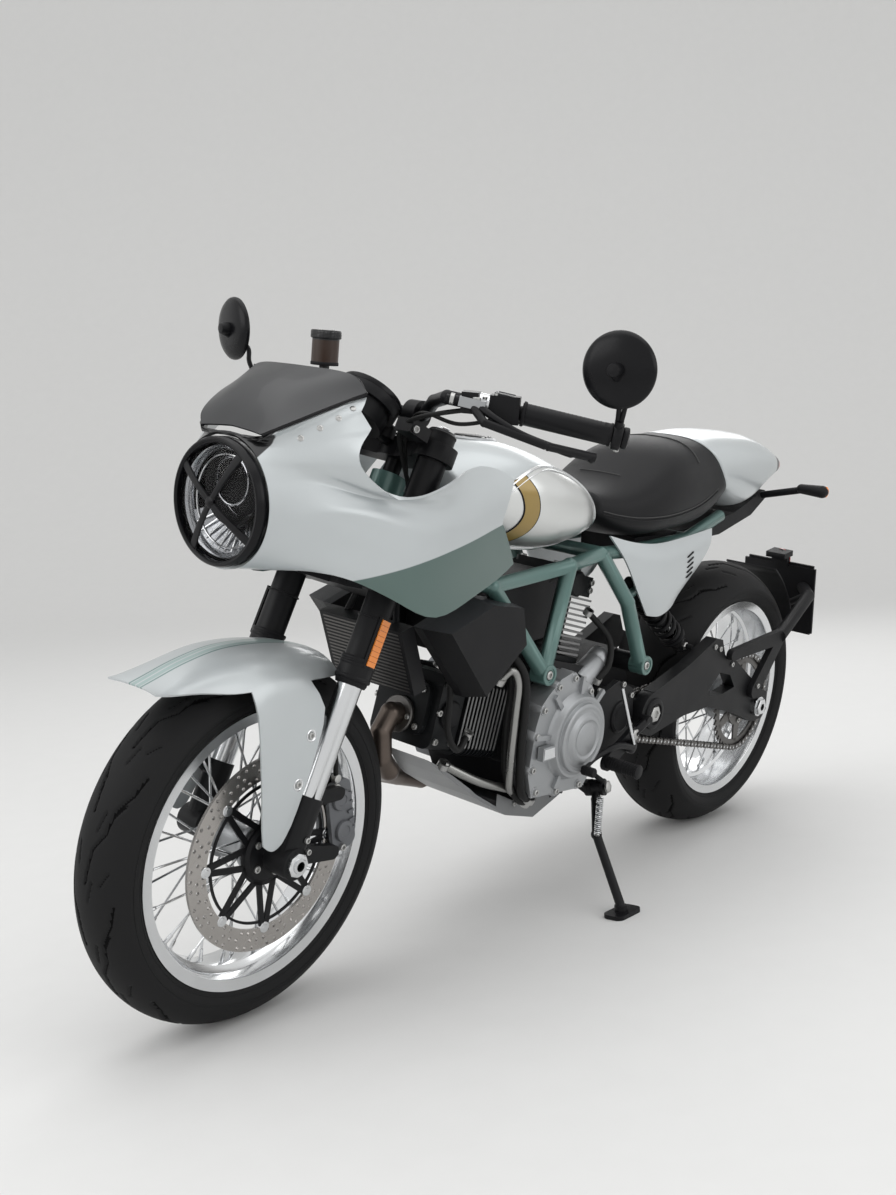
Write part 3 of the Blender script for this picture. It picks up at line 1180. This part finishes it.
tank_top = Piece("brake_reservoir_cap", "steering", "black_plastic")
RES = np.array([1122, -204, 1044.0])
ribbed = [(27.4 if k % 2 else 26.6, 48 + k * 1.2) for k in range(9)]
tank_top.add(lathe([(24.4, 46)] + [(26.8, 47)] + ribbed + [(25, 60.6), (0.01, 60.8)], RES, (0, 0, 1), 40),
             "black_plastic")
tank_top.add(lathe([(24.3, 0), (24.9, 1), (24.9, 5), (24.3, 6)], RES, (0, 0, 1), 40), "black_plastic")
tank_top.add(tube(smooth([RES + [0, 0, -15], RES + [30, 4, -24], RES + [62, -10, -18]], 16), 5, 10), "red")
for k in (-1, 1):
    tank_top.add(bolt(RES + [k * 17, 0, 60.4], (0, 0, 1), 3.4, 2), "bolt")
tank_top.done()

gauge = Piece("gauge_face", "steering", "black_plastic")
dial_axis = np.array([-sin(radians(40)), 0, cos(radians(40))])
DIAL = np.array([1230, 0, 990.0])
gauge.add(lathe([(55.4, 22), (56, 27), (55.4, 30.4), (53, 31.6), (50.4, 31), (49.6, 29)], DIAL, dial_axis,
                72), "black_gloss")
gauge.add(lathe([(50, 29.6), (0.01, 29.8)], DIAL, dial_axis, 64), "dial")
_, gu, gv = frame_of(dial_axis)
for k in range(27):
    a = radians(150 + 240 * k / 26)
    spoke = gu * cos(a) + gv * sin(a)
    reach = 38 if k % 2 == 0 else 42
    gauge.add(tube([DIAL + dial_axis * 30 + spoke * reach, DIAL + dial_axis * 30 + spoke * 46], 0.7, 4),
              "alloy")
needle = gu * cos(2.7) + gv * sin(2.7)
gauge.add(tube([DIAL + dial_axis * 30.4, DIAL + dial_axis * 30.4 + needle * 36], [1.6, 0.6], 6), "red")
gauge.add(lathe([(6, 30), (6, 32), (0.01, 32.6)], DIAL, dial_axis, 24), "black_gloss")
gauge.done()

# ---- Engine: cover bosses, caps, ribs, starter, hoses ----
def cyl(tilt, x, y, z):
    a = radians(tilt)
    return CRANK + x * np.array([cos(a), 0, -sin(a)]) + [0, y,
            0] + z * np.array([sin(a), 0, cos(a)])


engine = Piece("engine_left_details", "chassis", "cast_silver", mat="silver_cast")
CAP = np.array([748, 150, 385.0])
engine.add(lathe([(88, -1), (85, 3), (82.5, 6), (81, 15), (79, 18), (74, 19), (70.5, 17.6), (69, 18.4),
                  (67.4, 25), (64.4, 27.2),
                  (60, 27.4), (58, 26), (52.6, 25.6), (50.4, 26.6), (48, 29.4), (45.6, 31.2), (43.4, 32.6),
                  (38.4, 33),
                  (36.4, 31.4), (32, 31), (30.4, 32.2), (0.01, 32.6)], CAP, (0, 1, 0), 96))
for x, z in ((812, 490), (852, 452), (868, 404), (872, 340), (856, 294), (790, 282), (716, 280), (686, 306),
             (676, 396), (706, 466),
             (762, 500)):
    engine.add(lathe([(12.5, -30), (11, 0), (9.5, 3.4), (6.2, 3.4)], (x, 148, z), (0, 1, 0), 24))
    engine.add(bolt((x, 151, z), (0, 1, 0), 6.2, 5), "bolt")
for a0, r0, r1 in ((50, 86, 112), (96, 86, 112), (138, 86, 110), (-62, 86, 104), (8, 86, 122)):
    a = radians(a0)
    d = polar(1, a)
    engine.add(block(CAP + d * (r0 + r1) / 2 + [0, 3, 0], (r1 - r0 + 8, 10, 7), d, (0, 1, 0)))
engine.add(block(CAP + [92, 9, -14], (44, 13, 26), (1, 0, 0), (0, 0, 1)))
engine.add(block(CAP + [92, 16, -14], (38, 1.6, 20), (1, 0, 0), (0, 0, 1)), "alloy")
start, stop = np.array([668, 94, 464.0]), np.array([588, 94, 509.0])
st_axis = unit(stop - start)
engine.add(lathe([(20, 0), (25, 1), (25.6, 6), (25.6, 60), (24, 64), (25.4, 66), (25.4, 84), (22, 90),
                  (12, 92), (0.01, 92)],
                 start, st_axis, 40))
for k in range(3):
    a = 2 * pi * k / 3 + 0.5
    _, su, sv = frame_of(st_axis)
    engine.add(bolt(start + st_axis * 89 + su * 14 * cos(a) + sv * 14 * sin(a), st_axis, 4, 4),
               "bolt")
engine.done(bevel=1.6)

side = Piece("engine_black_details", "chassis", "cast_black", mat="bolt")
for tilt, end in zip(BARREL_TILTS, (330, 302)):
    for s in SIDES:
        for u, w in ((-52, 276), (52, 276), (-52, end - 10), (52, end - 10), (0, end - 4)):
            side.add(bolt(cyl(tilt, u, s * 73, w), (0, s, 0), 6, 5))
        side.add(lathe([(26, 0), (26, 5), (22, 9), (8, 10), (0.01, 10)],
                       cyl(tilt, 0, s * 72.6, (262 + end) / 2), (0, s, 0), 32), "black_cast")
    top = cyl(tilt, 0, 0, end + 11)
    axis = unit(cyl(tilt, 0, 0, end + 20) - top)
    for u in (-34, 34):
        for v in (-40, 40):
            side.add(bolt(cyl(tilt, u, v, end + 10), axis, 6, 5))
plug = cyl(76, -40, 64, 300)
side.add(tube(smooth([plug, plug + [10, 26, 26], [985, 104, 560], [900, 96, 600]], 30), 4.2, 10), "hose")
side.add(tube([plug - [0, 8, 0], plug + [4, 14, 8]], [9, 7], 14), "black_plastic")
plug = cyl(-14, 46, 60, 280)
side.add(tube(smooth([plug, plug + [24, 24, 10], plug + [60, 20, 6], [800, 60, 640]], 30), 4.2, 10), "hose")
side.add(tube([plug - [4, 6, 0], plug + [8, 12, 4]], [9, 7], 14), "black_plastic")
for path, r, key in (
        ([(868, 112, 286), (902, 124, 306), (914, 130, 372), (914, 131, 452), (912, 130, 506),
          (925, 124, 532), (944, 112, 514)], 7.2, "dark_alloy"),
        ([(850, 134, 274), (884, 138, 300), (894, 137, 380), (892, 135, 462), (896, 130, 520),
          (920, 110, 566)], 8.4, "hose"),
        ([(842, 120, 262), (876, 124, 280), (900, 112, 330), (906, 108, 420), (900, 106, 500),
          (910, 94, 560)], 7.4, "hose"),
        ([(640, 120, 470), (612, 126, 500), (600, 112, 548), (640, 84, 600)], 6.4, "hose"),
        ([(1004, 96, 420), (1040, 104, 400), (1066, 100, 440), (1060, 92, 520), (1080, 80, 560)], 6.0,
         "hose"),
        ([(1020, 60, 356), (960, 92, 322), (900, 104, 300), (850, 112, 286)], 8.4, "dark_alloy")):
    side.add(tube(smooth(path, 48), r, 12), key)
    for q in (path[0], path[-1]):
        side.add(lathe([(r + 1, -6), (r + 3.4, -6), (r + 3.4, 6), (r + 1, 6)], q, (0, 0.5, 1), 14))
bolts(side, [(x, 131.6, z) for x, z in (
        (646, 452), (560, 452), (526, 424), (520, 360), (534, 322), (582, 316))], (0, 1, 0), 6, 5)
side.add(lathe([(34, 0), (33, 4), (28, 6), (24, 4), (0.01, 4.4)], (560, 131, 384), (0, 1, 0), 40),
         "black_cast")
side.done(bevel=0.8)

right = Piece("engine_right_details", "chassis", "cast_grey")
RIGHT = np.array([724, -150, 385.0])
right.add(lathe([(92, -2), (88, 4), (86, 16), (82, 19), (74, 18), (66, 19), (63, 25), (58, 27.6), (30, 28),
                 (26, 30), (0.01, 30.4)],
                RIGHT, (0, -1, 0), 96), "grey_cast")
bolts(right, [(x, -151, z) for x, z in (
        (812, 486), (846, 442), (866, 380), (868, 330), (842, 298), (776, 288), (706, 288), (656, 318),
        (652, 410), (698, 478))], (0, -1, 0), 6.2, 5)
for k in range(6):
    a = radians(60 * k)
    right.add(bolt(RIGHT + polar(46, a, -27.6), (0, -1, 0), 5, 4), "bolt")
right.done(bevel=1.2)

pan = Piece("belly_pan_slots", "chassis", "cast_grey")
for x in (694, 713, 732):
    pan.add(block((x, 98.2, 250), (5.5, 1.6, 22), (1, 0, -0.5), (0.5, 0, 1)), "black_plastic")
    pan.add(block((x, -98.2, 250), (5.5, 1.6, 22), (1, 0, -0.5), (0.5, 0, 1)), "black_plastic")
for x, z in ((846, 254), (672, 256)):
    for s in SIDES:
        pan.add(bolt((x, s * 97.4, z), (0, s, 0), 5, 4), "bolt")
pan.done()

core = Piece("oil_cooler_core", "chassis", "black_paint")
lean_up = unit([46, 0, 116])
for k in range(17):
    base = np.array([1159.4, 0, 520.5]) + lean_up * (7 * k + 1)
    core.add(block(base, (2.2, 176, 3.0), np.cross((0, 1, 0), lean_up), lean_up), "dark_steel")
core.done()

pipes = Piece("exhaust_details", "chassis", "header_steel")
S0, S1 = np.array([600, -152, 228.0]), np.array([262, -196, 284.0])
s_axis = unit(S1 - S0)
for share, r in ((0.03, 54.6), (0.5, 54.5), (0.96, 54.6)):
    pipes.add(lathe([(r, -9), (r + 1.8, -8), (r + 1.8, 8), (r, 9)], S0 + (S1 - S0) * share, s_axis, 64),
              "dark_steel")
pipes.add(lathe([(30.4, 0), (32, 2), (32, 8), (29, 9.4), (24, 9.4), (23, 4), (22, -30), (0.01, -34)],
                S1 + s_axis * 22, s_axis, 48), "steel")
for tilt, u, w in ((76, 20, 342), (-14, -70, 283)):
    a = radians(tilt)
    at = cyl(tilt, u, 0, w)
    axis = unit(at - cyl(tilt, u, 0, w - 10)) if tilt > 0 else unit(cyl(tilt, -80, 0, w) - cyl(tilt, -70, 0,
            w))
    pipes.add(lathe([(20, 0), (33, 0), (34, 2), (34, 7), (32, 9), (20, 9)], at, axis, 36), "dark_steel")
    _, pu, pv = frame_of(axis)
    for k in (0, pi):
        pipes.add(bolt(at + axis * 8 + (pu * cos(k) + pv * sin(k)) * 27, axis, 5, 6), "bolt")
pipes.done(bevel=0.6)

# ---- Chain, sprocket, rear shock, swingarm and stand details ----
def chain_path():
    ra, rb = FRONT_SPROCKET_R, REAR_SPROCKET_R
    a, b = FRONT_SPROCKET, REAR_AXLE[[0, 2]]
    d = unit(b - a)
    angle = atan2(d[1], d[0])
    wrap = pi / 2 - asin((ra - rb) / np.linalg.norm(b - a))
    loop = [b + rb * np.array([cos(t),
                               sin(t)]) for t in angle - wrap + 2 * wrap * np.arange(121) / 120]
    loop += [a + ra * np.array([cos(t), sin(t)]) for t in
             angle + wrap + (2 * pi - 2 * wrap) * np.arange(61) / 60]
    loop.append(loop[0])
    p = np.array(loop)
    walk = np.concatenate([[0], np.cumsum(np.linalg.norm(np.diff(p, axis=0), axis=1))])
    count = 2 * round(walk[-1] / CHAIN_PITCH / 2)
    marks = np.linspace(0, walk[-1], count + 1)
    return np.stack([np.interp(marks, walk, p[:, 0]), np.interp(marks, walk, p[:, 1])], 1)


def link_outline(p, q, r, waist):
    d = unit(q - p)
    n = np.array([-d[1], d[0]])
    shape = []
    for t in (60, 90, 130, 180, 230, 270, 300):
        a = radians(t)
        shape.append(p + r * (cos(a) * d + sin(a) * n))
    mid = (p + q) / 2
    shape.append(mid - n * waist)
    for t in (-120, -90, -50, 0, 50, 90, 120):
        a = radians(t)
        shape.append(q + r * (cos(a) * d + sin(a) * n))
    shape.append(mid + n * waist)
    return shape


chain = Piece("drive_chain", "chassis", "dark_steel", ["chain"])
marks = chain_path()
for k in range(len(marks) - 1):
    p, q = marks[k], marks[k + 1]
    y = 6.6 if k % 2 else 4.5
    for s in SIDES:
        chain.add(prism(link_outline(p, q, 6.9, 4.9), CHAIN_Y + s * y - 0.9, CHAIN_Y + s * y + 0.9),
                  "dark_steel")
    chain.add(tube([(p[0], CHAIN_Y - 8, p[1]), (p[0], CHAIN_Y + 8, p[1])], 2.6, 8), "steel")
    chain.add(tube([(p[0], CHAIN_Y - 3.4, p[1]), (p[0], CHAIN_Y + 3.4, p[1])], 5.0, 10), "dark_steel")
chain.done(sharp=30)

cog = Piece("rear_sprocket_teeth", "rear_wheel", "dark_steel", ["rear_sprocket"], mat="dark_steel")
teeth = []
for k in range(REAR_TEETH):
    for frac, r in ((0.0, 105.4), (0.14, 105.2), (0.30, 110), (0.44, 113.6), (0.56, 113.6), (0.70, 110),
                    (0.86, 105.2)):
        a = 2 * pi * (k + frac) / REAR_TEETH
        teeth.append((r, a))
inner_edge = [(92, a) for _, a in teeth]
rows = [[REAR_AXLE + polar(r, a, CHAIN_Y + y) for r, a in loop]
        for loop, y in ((inner_edge, -2.2), (inner_edge, 2.2), (teeth, 2.2), (teeth, -2.2),
                        (inner_edge, -2.2))]
cog.add(grid(np.array(rows), closed=True))
for k in range(6):
    a = 2 * pi * k / 6 + pi / 6
    cog.add(arm_plate(REAR_AXLE + [0, CHAIN_Y, 0], -2.2, 2.2, 40, 93, a, 30, 18))
    spot = REAR_AXLE + polar(46, a, CHAIN_Y + 2)
    cog.add(bolt(spot, (0, 1, 0), 6.4, 5), "bolt")
cog.add(lathe([(28, -3.4), (56, -3.4), (57, 0), (56, 3.4), (28, 3.4), (28, -3.4)],
              REAR_AXLE + [0, CHAIN_Y, 0], (0, 1, 0), 64))
cog.done(sharp=30)

SHOCK_TOP, SHOCK_FOOT = np.array([500, 88, 642.0]), np.array([278, 90, 487.0])
shock = Piece("rear_shock_spring", "chassis", "black_paint", ["rear_shock"], mat="black_cast")
axis, su, sv = frame_of(SHOCK_TOP - SHOCK_FOOT)
long = np.linalg.norm(SHOCK_TOP - SHOCK_FOOT)
for end in (SHOCK_TOP, SHOCK_FOOT):
    shock.add(lathe([(6.2, -11), (15, -11), (16, -9), (16, 9), (15, 11), (6.2, 11), (6.2, -11)], end,
                    (0, 1, 0), 28))
    shock.add(lathe([(9, 0), (9, 4), (7, 6), (0.01, 6)], end + [0, 11, 0], (0, 1, 0), 6), "bolt")
shock.add(tube([SHOCK_FOOT + axis * 10, SHOCK_FOOT + axis * long * 0.5], 8, 20), "steel")
shock.add(lathe([(9, 12), (14, 13), (22, long * 0.15), (27, long * 0.155), (27.4, long * 0.18),
                 (22, long * 0.19), (12, long * 0.19)],
                SHOCK_FOOT, axis, 32))
shock.add(lathe([(10, long * 0.42), (19, long * 0.43), (20, long * 0.5), (20, long * 0.8),
                 (26.4, long * 0.81), (27.2, long * 0.83),
                 (27.2, long * 0.87), (22, long * 0.89), (14, long * 0.95), (8, long - 8)], SHOCK_FOOT,
                 axis, 32))
coil = []
for k in range(241):
    t = k / 240
    a = 2 * pi * 6.5 * t
    coil.append(SHOCK_FOOT + axis * long * (0.19 + 0.62 * t) + 22.4 * (su * cos(a) + sv * sin(a)))
shock.add(tube(coil, 4.8, 10), "black_satin")
shock.done()

arm = Piece("swingarm_details", "chassis", "cast_black", mat="bolt")
PIVOT = np.array([456, 0, 376.0])
arm.both(lathe([(34, -1), (33, 3), (29, 5), (23, 5), (22, 2), (18, 2)], PIVOT + [0, 149, 0], (0, 1, 0), 48),
         "black_cast")
arm.both(lathe([(18, 0), (18, 5), (15, 7), (9, 7), (8, 3), (0.01, 3)], PIVOT + [0, 149, 0], (0, 1, 0), 6))
for s in SIDES:
    arm.add(lathe([(20, 0), (20, 6), (18, 8), (9, 8)], REAR_AXLE + [0, s * 160, 0], (0, s, 0), 6), "steel")
    arm.add(block(REAR_AXLE + [-44, s * 134, 0], (20, 30, 36), (1, 0, 0), (0, 0, 1)), "silver_cast")
    arm.add(bolt(REAR_AXLE + [-53, s * 134, 0], (-1, 0, 0), 6, 8))
    for x, z in ((228, 488), (204, 480), (140, 436)):
        arm.add(bolt((x, s * 149, z), (0, s, 0), 6, 4))
arm.done(bevel=0.8)

plate = Piece("blank_plate", "chassis", "black_plastic")
a = radians(8.6)
px, pz = np.array([cos(a), 0, -sin(a)]), np.array([sin(a), 0, cos(a)])
PLATE = np.array([-352, 0, 520.0])
plate.add(block(PLATE + px * -8.8 + pz * -5, (1.6, 174, 172), px, pz), "plate")
plate.add(block(PLATE + px * 10 + pz * 99, (34, 40, 2), px, pz), "glass")
for y in (-60, 60):
    plate.add(bolt(PLATE + px * -9.4 + pz * 60 + [0, y, 0], -px, 5, 3), "bolt")
plate.add(bolt((30, 163, 372), (0, 1, 0), 6, 4), "bolt")
plate.add(lathe([(0.01, 3), (22, 3), (24, 1.5), (24, -2)], PLATE + px * -6 + pz * 92, -px, 32), "red")
plate.done(bevel=0.5)

slits = Piece("side_cover_slits", "chassis", "black_plastic")
for k in range(5):
    cx, cz = 340 - 1.5 * k, 698 - 11 * k
    for s in SIDES:
        line = surface_line("side_covers", [(cx + 15 - 30 * t / 8, cz - 5 + 10 * t / 8) for t in range(9)],
                            s, 0.2)
        if len(line) > 3:
            slits.add(tube(line, [0.6] + [2.1] * (len(line) - 2) + [0.6], 8), "black_plastic")
slits.done()

foot = Piece("peg_and_lever_details", "chassis", "black_paint", mat="black_satin")
for s in SIDES:
    for k in range(11):
        foot.add(lathe([(12, -1.6), (13.6, -1), (13.6, 1), (12, 1.6)], (628, s * (168 + 5.6 * k), 308),
                       (0, 1, 0), 24), "rubber")
    foot.add(lathe([(12, -1), (14.4, 0), (14.4, 2.4), (12, 3.6), (0.01, 3.8)], (628, s * 229, 308),
                   (0, s, 0), 24))
    foot.add(lathe([(12, 0), (12, 4), (9, 6), (0.01, 6)], (545, s * 162, 352), (0, s, 0), 6), "bolt")
foot.add(tube(smooth([(560, 171, 330), (620, 172, 344), (690, 172, 336), (742, 176, 322)], 24),
              [6.5] * 12 + [5.5] * 13, 12))
foot.add(lathe([(0.01, -2), (8, -2), (9.4, 0), (9.4, 24), (8, 26), (0.01, 26)], (742, 178, 322), (0, 1, 0),
               20), "rubber")
foot.add(lathe([(13, -4), (14, -2), (14, 8), (10, 10), (0.01, 10)], (560, 164, 330), (0, 1, 0), 24))
foot.add(tube([(566, 176, 338), (590, 150, 452)], 4, 10), "steel")
foot.add(tube(smooth([(560, -171, 330), (620, -176, 316), (700, -182, 300), (748, -184, 300)], 24), 6.5,
              12))
foot.add(block((752, -190, 304), (30, 30, 8), (1, 0, 0), (0, 0, 1)))
foot.done(bevel=0.8)

stand = Piece("stand_spring", "side_stand", "black_paint")
pivot = np.array([610, 130, 244.0])
knee = np.array([668, 176, 172.0])
run_down = unit(knee - pivot)
top_hook, low_hook = pivot + run_down * 24 + [10, 13, 8], knee + [12, 10, 6]
c_axis, cu, cv = frame_of(low_hook - top_hook)
span = np.linalg.norm(low_hook - top_hook)
spring = [top_hook + c_axis * span * k / 160 + 6 * (cu * cos(k * 0.75) + cv * sin(k * 0.75))
          for k in range(161)]
stand.add(tube(spring, 1.5, 6), "steel")
for hook in (top_hook, low_hook):
    stand.add(tube([hook - c_axis * 3, hook + c_axis * 3], 4, 10), "bolt")
stand.add(lathe([(13, 0), (13, 4), (10, 6), (0.01, 6)], pivot + unit([-0.2, 1, 0.277]) * 20.5,
                unit([-0.2, 1, 0.277]), 6), "bolt")
stand.done()

lugs = Piece("frame_bolts", "chassis", "bright_steel")
for x, z in ((833, 514), (494, 483)):
    for s in SIDES:
        lugs.add(lathe([(20, 0), (19, 2), (13.6, 2), (12, -4), (0.01, -4)], (x, s * LUG_Y, z), (0, s, 0),
                       36), "green")
        lugs.add(lathe([(8.6, -6), (8.6, 1), (7, 2.4), (4.6, 2.4), (4.6, -1), (0.01, -1)],
                       (x, s * LUG_Y, z), (0, s, 0), 24), "bolt")
lugs.done()

# ---- Mudguard screws ----
screws = Piece("mudguard_screws", "steering", "bright_steel")
for x, z in ((1410, 498), (1436, 425)):
    for s in SIDES:
        spot, normal = on_node("front_mudguard", x, z, s)
        if spot is not None:
            screws.add(lathe([(10, -1), (10, 0.6), (8.6, 1.2), (6.6, 0.4), (6.2, -0.6)], spot, normal, 28),
                       "alloy")
            screws.add(bolt(spot - unit(normal) * 1, normal, 5.6, 3.4), "bolt")
screws.done()

# ---- Studio: pale floor sweeping up into the backdrop, soft lights, camera ----
profile = []
out = np.array([cos(CAMERA_YAW), sin(CAMERA_YAW), 0.0])
side_way = np.array([-out[1], out[0], 0.0])
for k in range(41):
    t = k / 40
    if t < 0.6:
        profile.append((-6 + 15.5 * t / 0.6 * 0.75, 0.0))
    else:
        b = (t - 0.6) / 0.4 * pi / 2
        profile.append((5.625 + 5 * sin(b), 5 * (1 - cos(b))))
profile.append((10.625, 12))
rows = [[out * d + side_way * w + np.array([0, 0, h - 0.0004]) for w in (-14, -5, 5, 14)] for d,
        h in profile]
points, faces = grid(np.array(rows))
floor_mesh = bpy.data.meshes.new("studio_floor")
floor_mesh.from_pydata(points.tolist(), [], faces)
floor_mesh.materials.append(M["floor"])
floor_mesh.polygons.foreach_set("use_smooth", [True] * len(floor_mesh.polygons))
floor = bpy.data.objects.new("studio_floor", floor_mesh)
bpy.context.scene.collection.objects.link(floor)


def area_light(name, at, target, size, power, color=(1, 1, 1)):
    data = bpy.data.lights.new(name, "AREA")
    data.shape = "RECTANGLE"
    data.size, data.size_y = size
    data.energy = power
    data.color = color
    o = bpy.data.objects.new(name, data)
    o.location = at
    o.rotation_euler = (Vector(target) - Vector(at)).to_track_quat("-Z", "Y").to_euler()
    bpy.context.scene.collection.objects.link(o)
    return o


area_light("overhead", (0.4, 0.3, 3.6), (0, 0, 0.4), (4.2, 3.2), 46)
area_light("key_front", (3.4, -1.2, 2.4), (0.2, 0, 0.6), (2.6, 2.0), 28)
area_light("fill_left", (-0.6, 4.2, 1.8), (0, 0, 0.5), (3.2, 2.2), 26)
area_light("rim_rear", (-3.6, -1.8, 2.6), (-0.2, 0, 0.7), (2.4, 1.6), 26)
world = bpy.data.worlds.new("studio")
world.use_nodes = True
world.node_tree.nodes["Background"].inputs["Color"].default_value = (0.97, 0.97, 0.965, 1)
world.node_tree.nodes["Background"].inputs["Strength"].default_value = 0.90
bpy.context.scene.world = world

cam_data = bpy.data.cameras.new("photo_camera")
cam_data.sensor_width = 36
cam_data.lens = CAMERA_LENS
camera = bpy.data.objects.new("photo_camera", cam_data)
forward = Vector((cos(CAMERA_PITCH) * cos(CAMERA_YAW),
                  cos(CAMERA_PITCH) * sin(CAMERA_YAW),
                  sin(CAMERA_PITCH)))
flat_right = forward.cross(Vector((0, 0, 1))).normalized()
flat_up = flat_right.cross(forward)
right_way = cos(CAMERA_ROLL) * flat_right + sin(CAMERA_ROLL) * flat_up
up_way = -sin(CAMERA_ROLL) * flat_right + cos(CAMERA_ROLL) * flat_up
camera.matrix_world = Matrix(
    [[right_way[k], up_way[k], -forward[k], CAMERA_AT[k]] for k in range(3)] + [[0, 0, 0, 1]])
bpy.context.scene.collection.objects.link(camera)
bpy.context.scene.camera = camera
bpy.context.scene.view_settings.view_transform = "Standard"
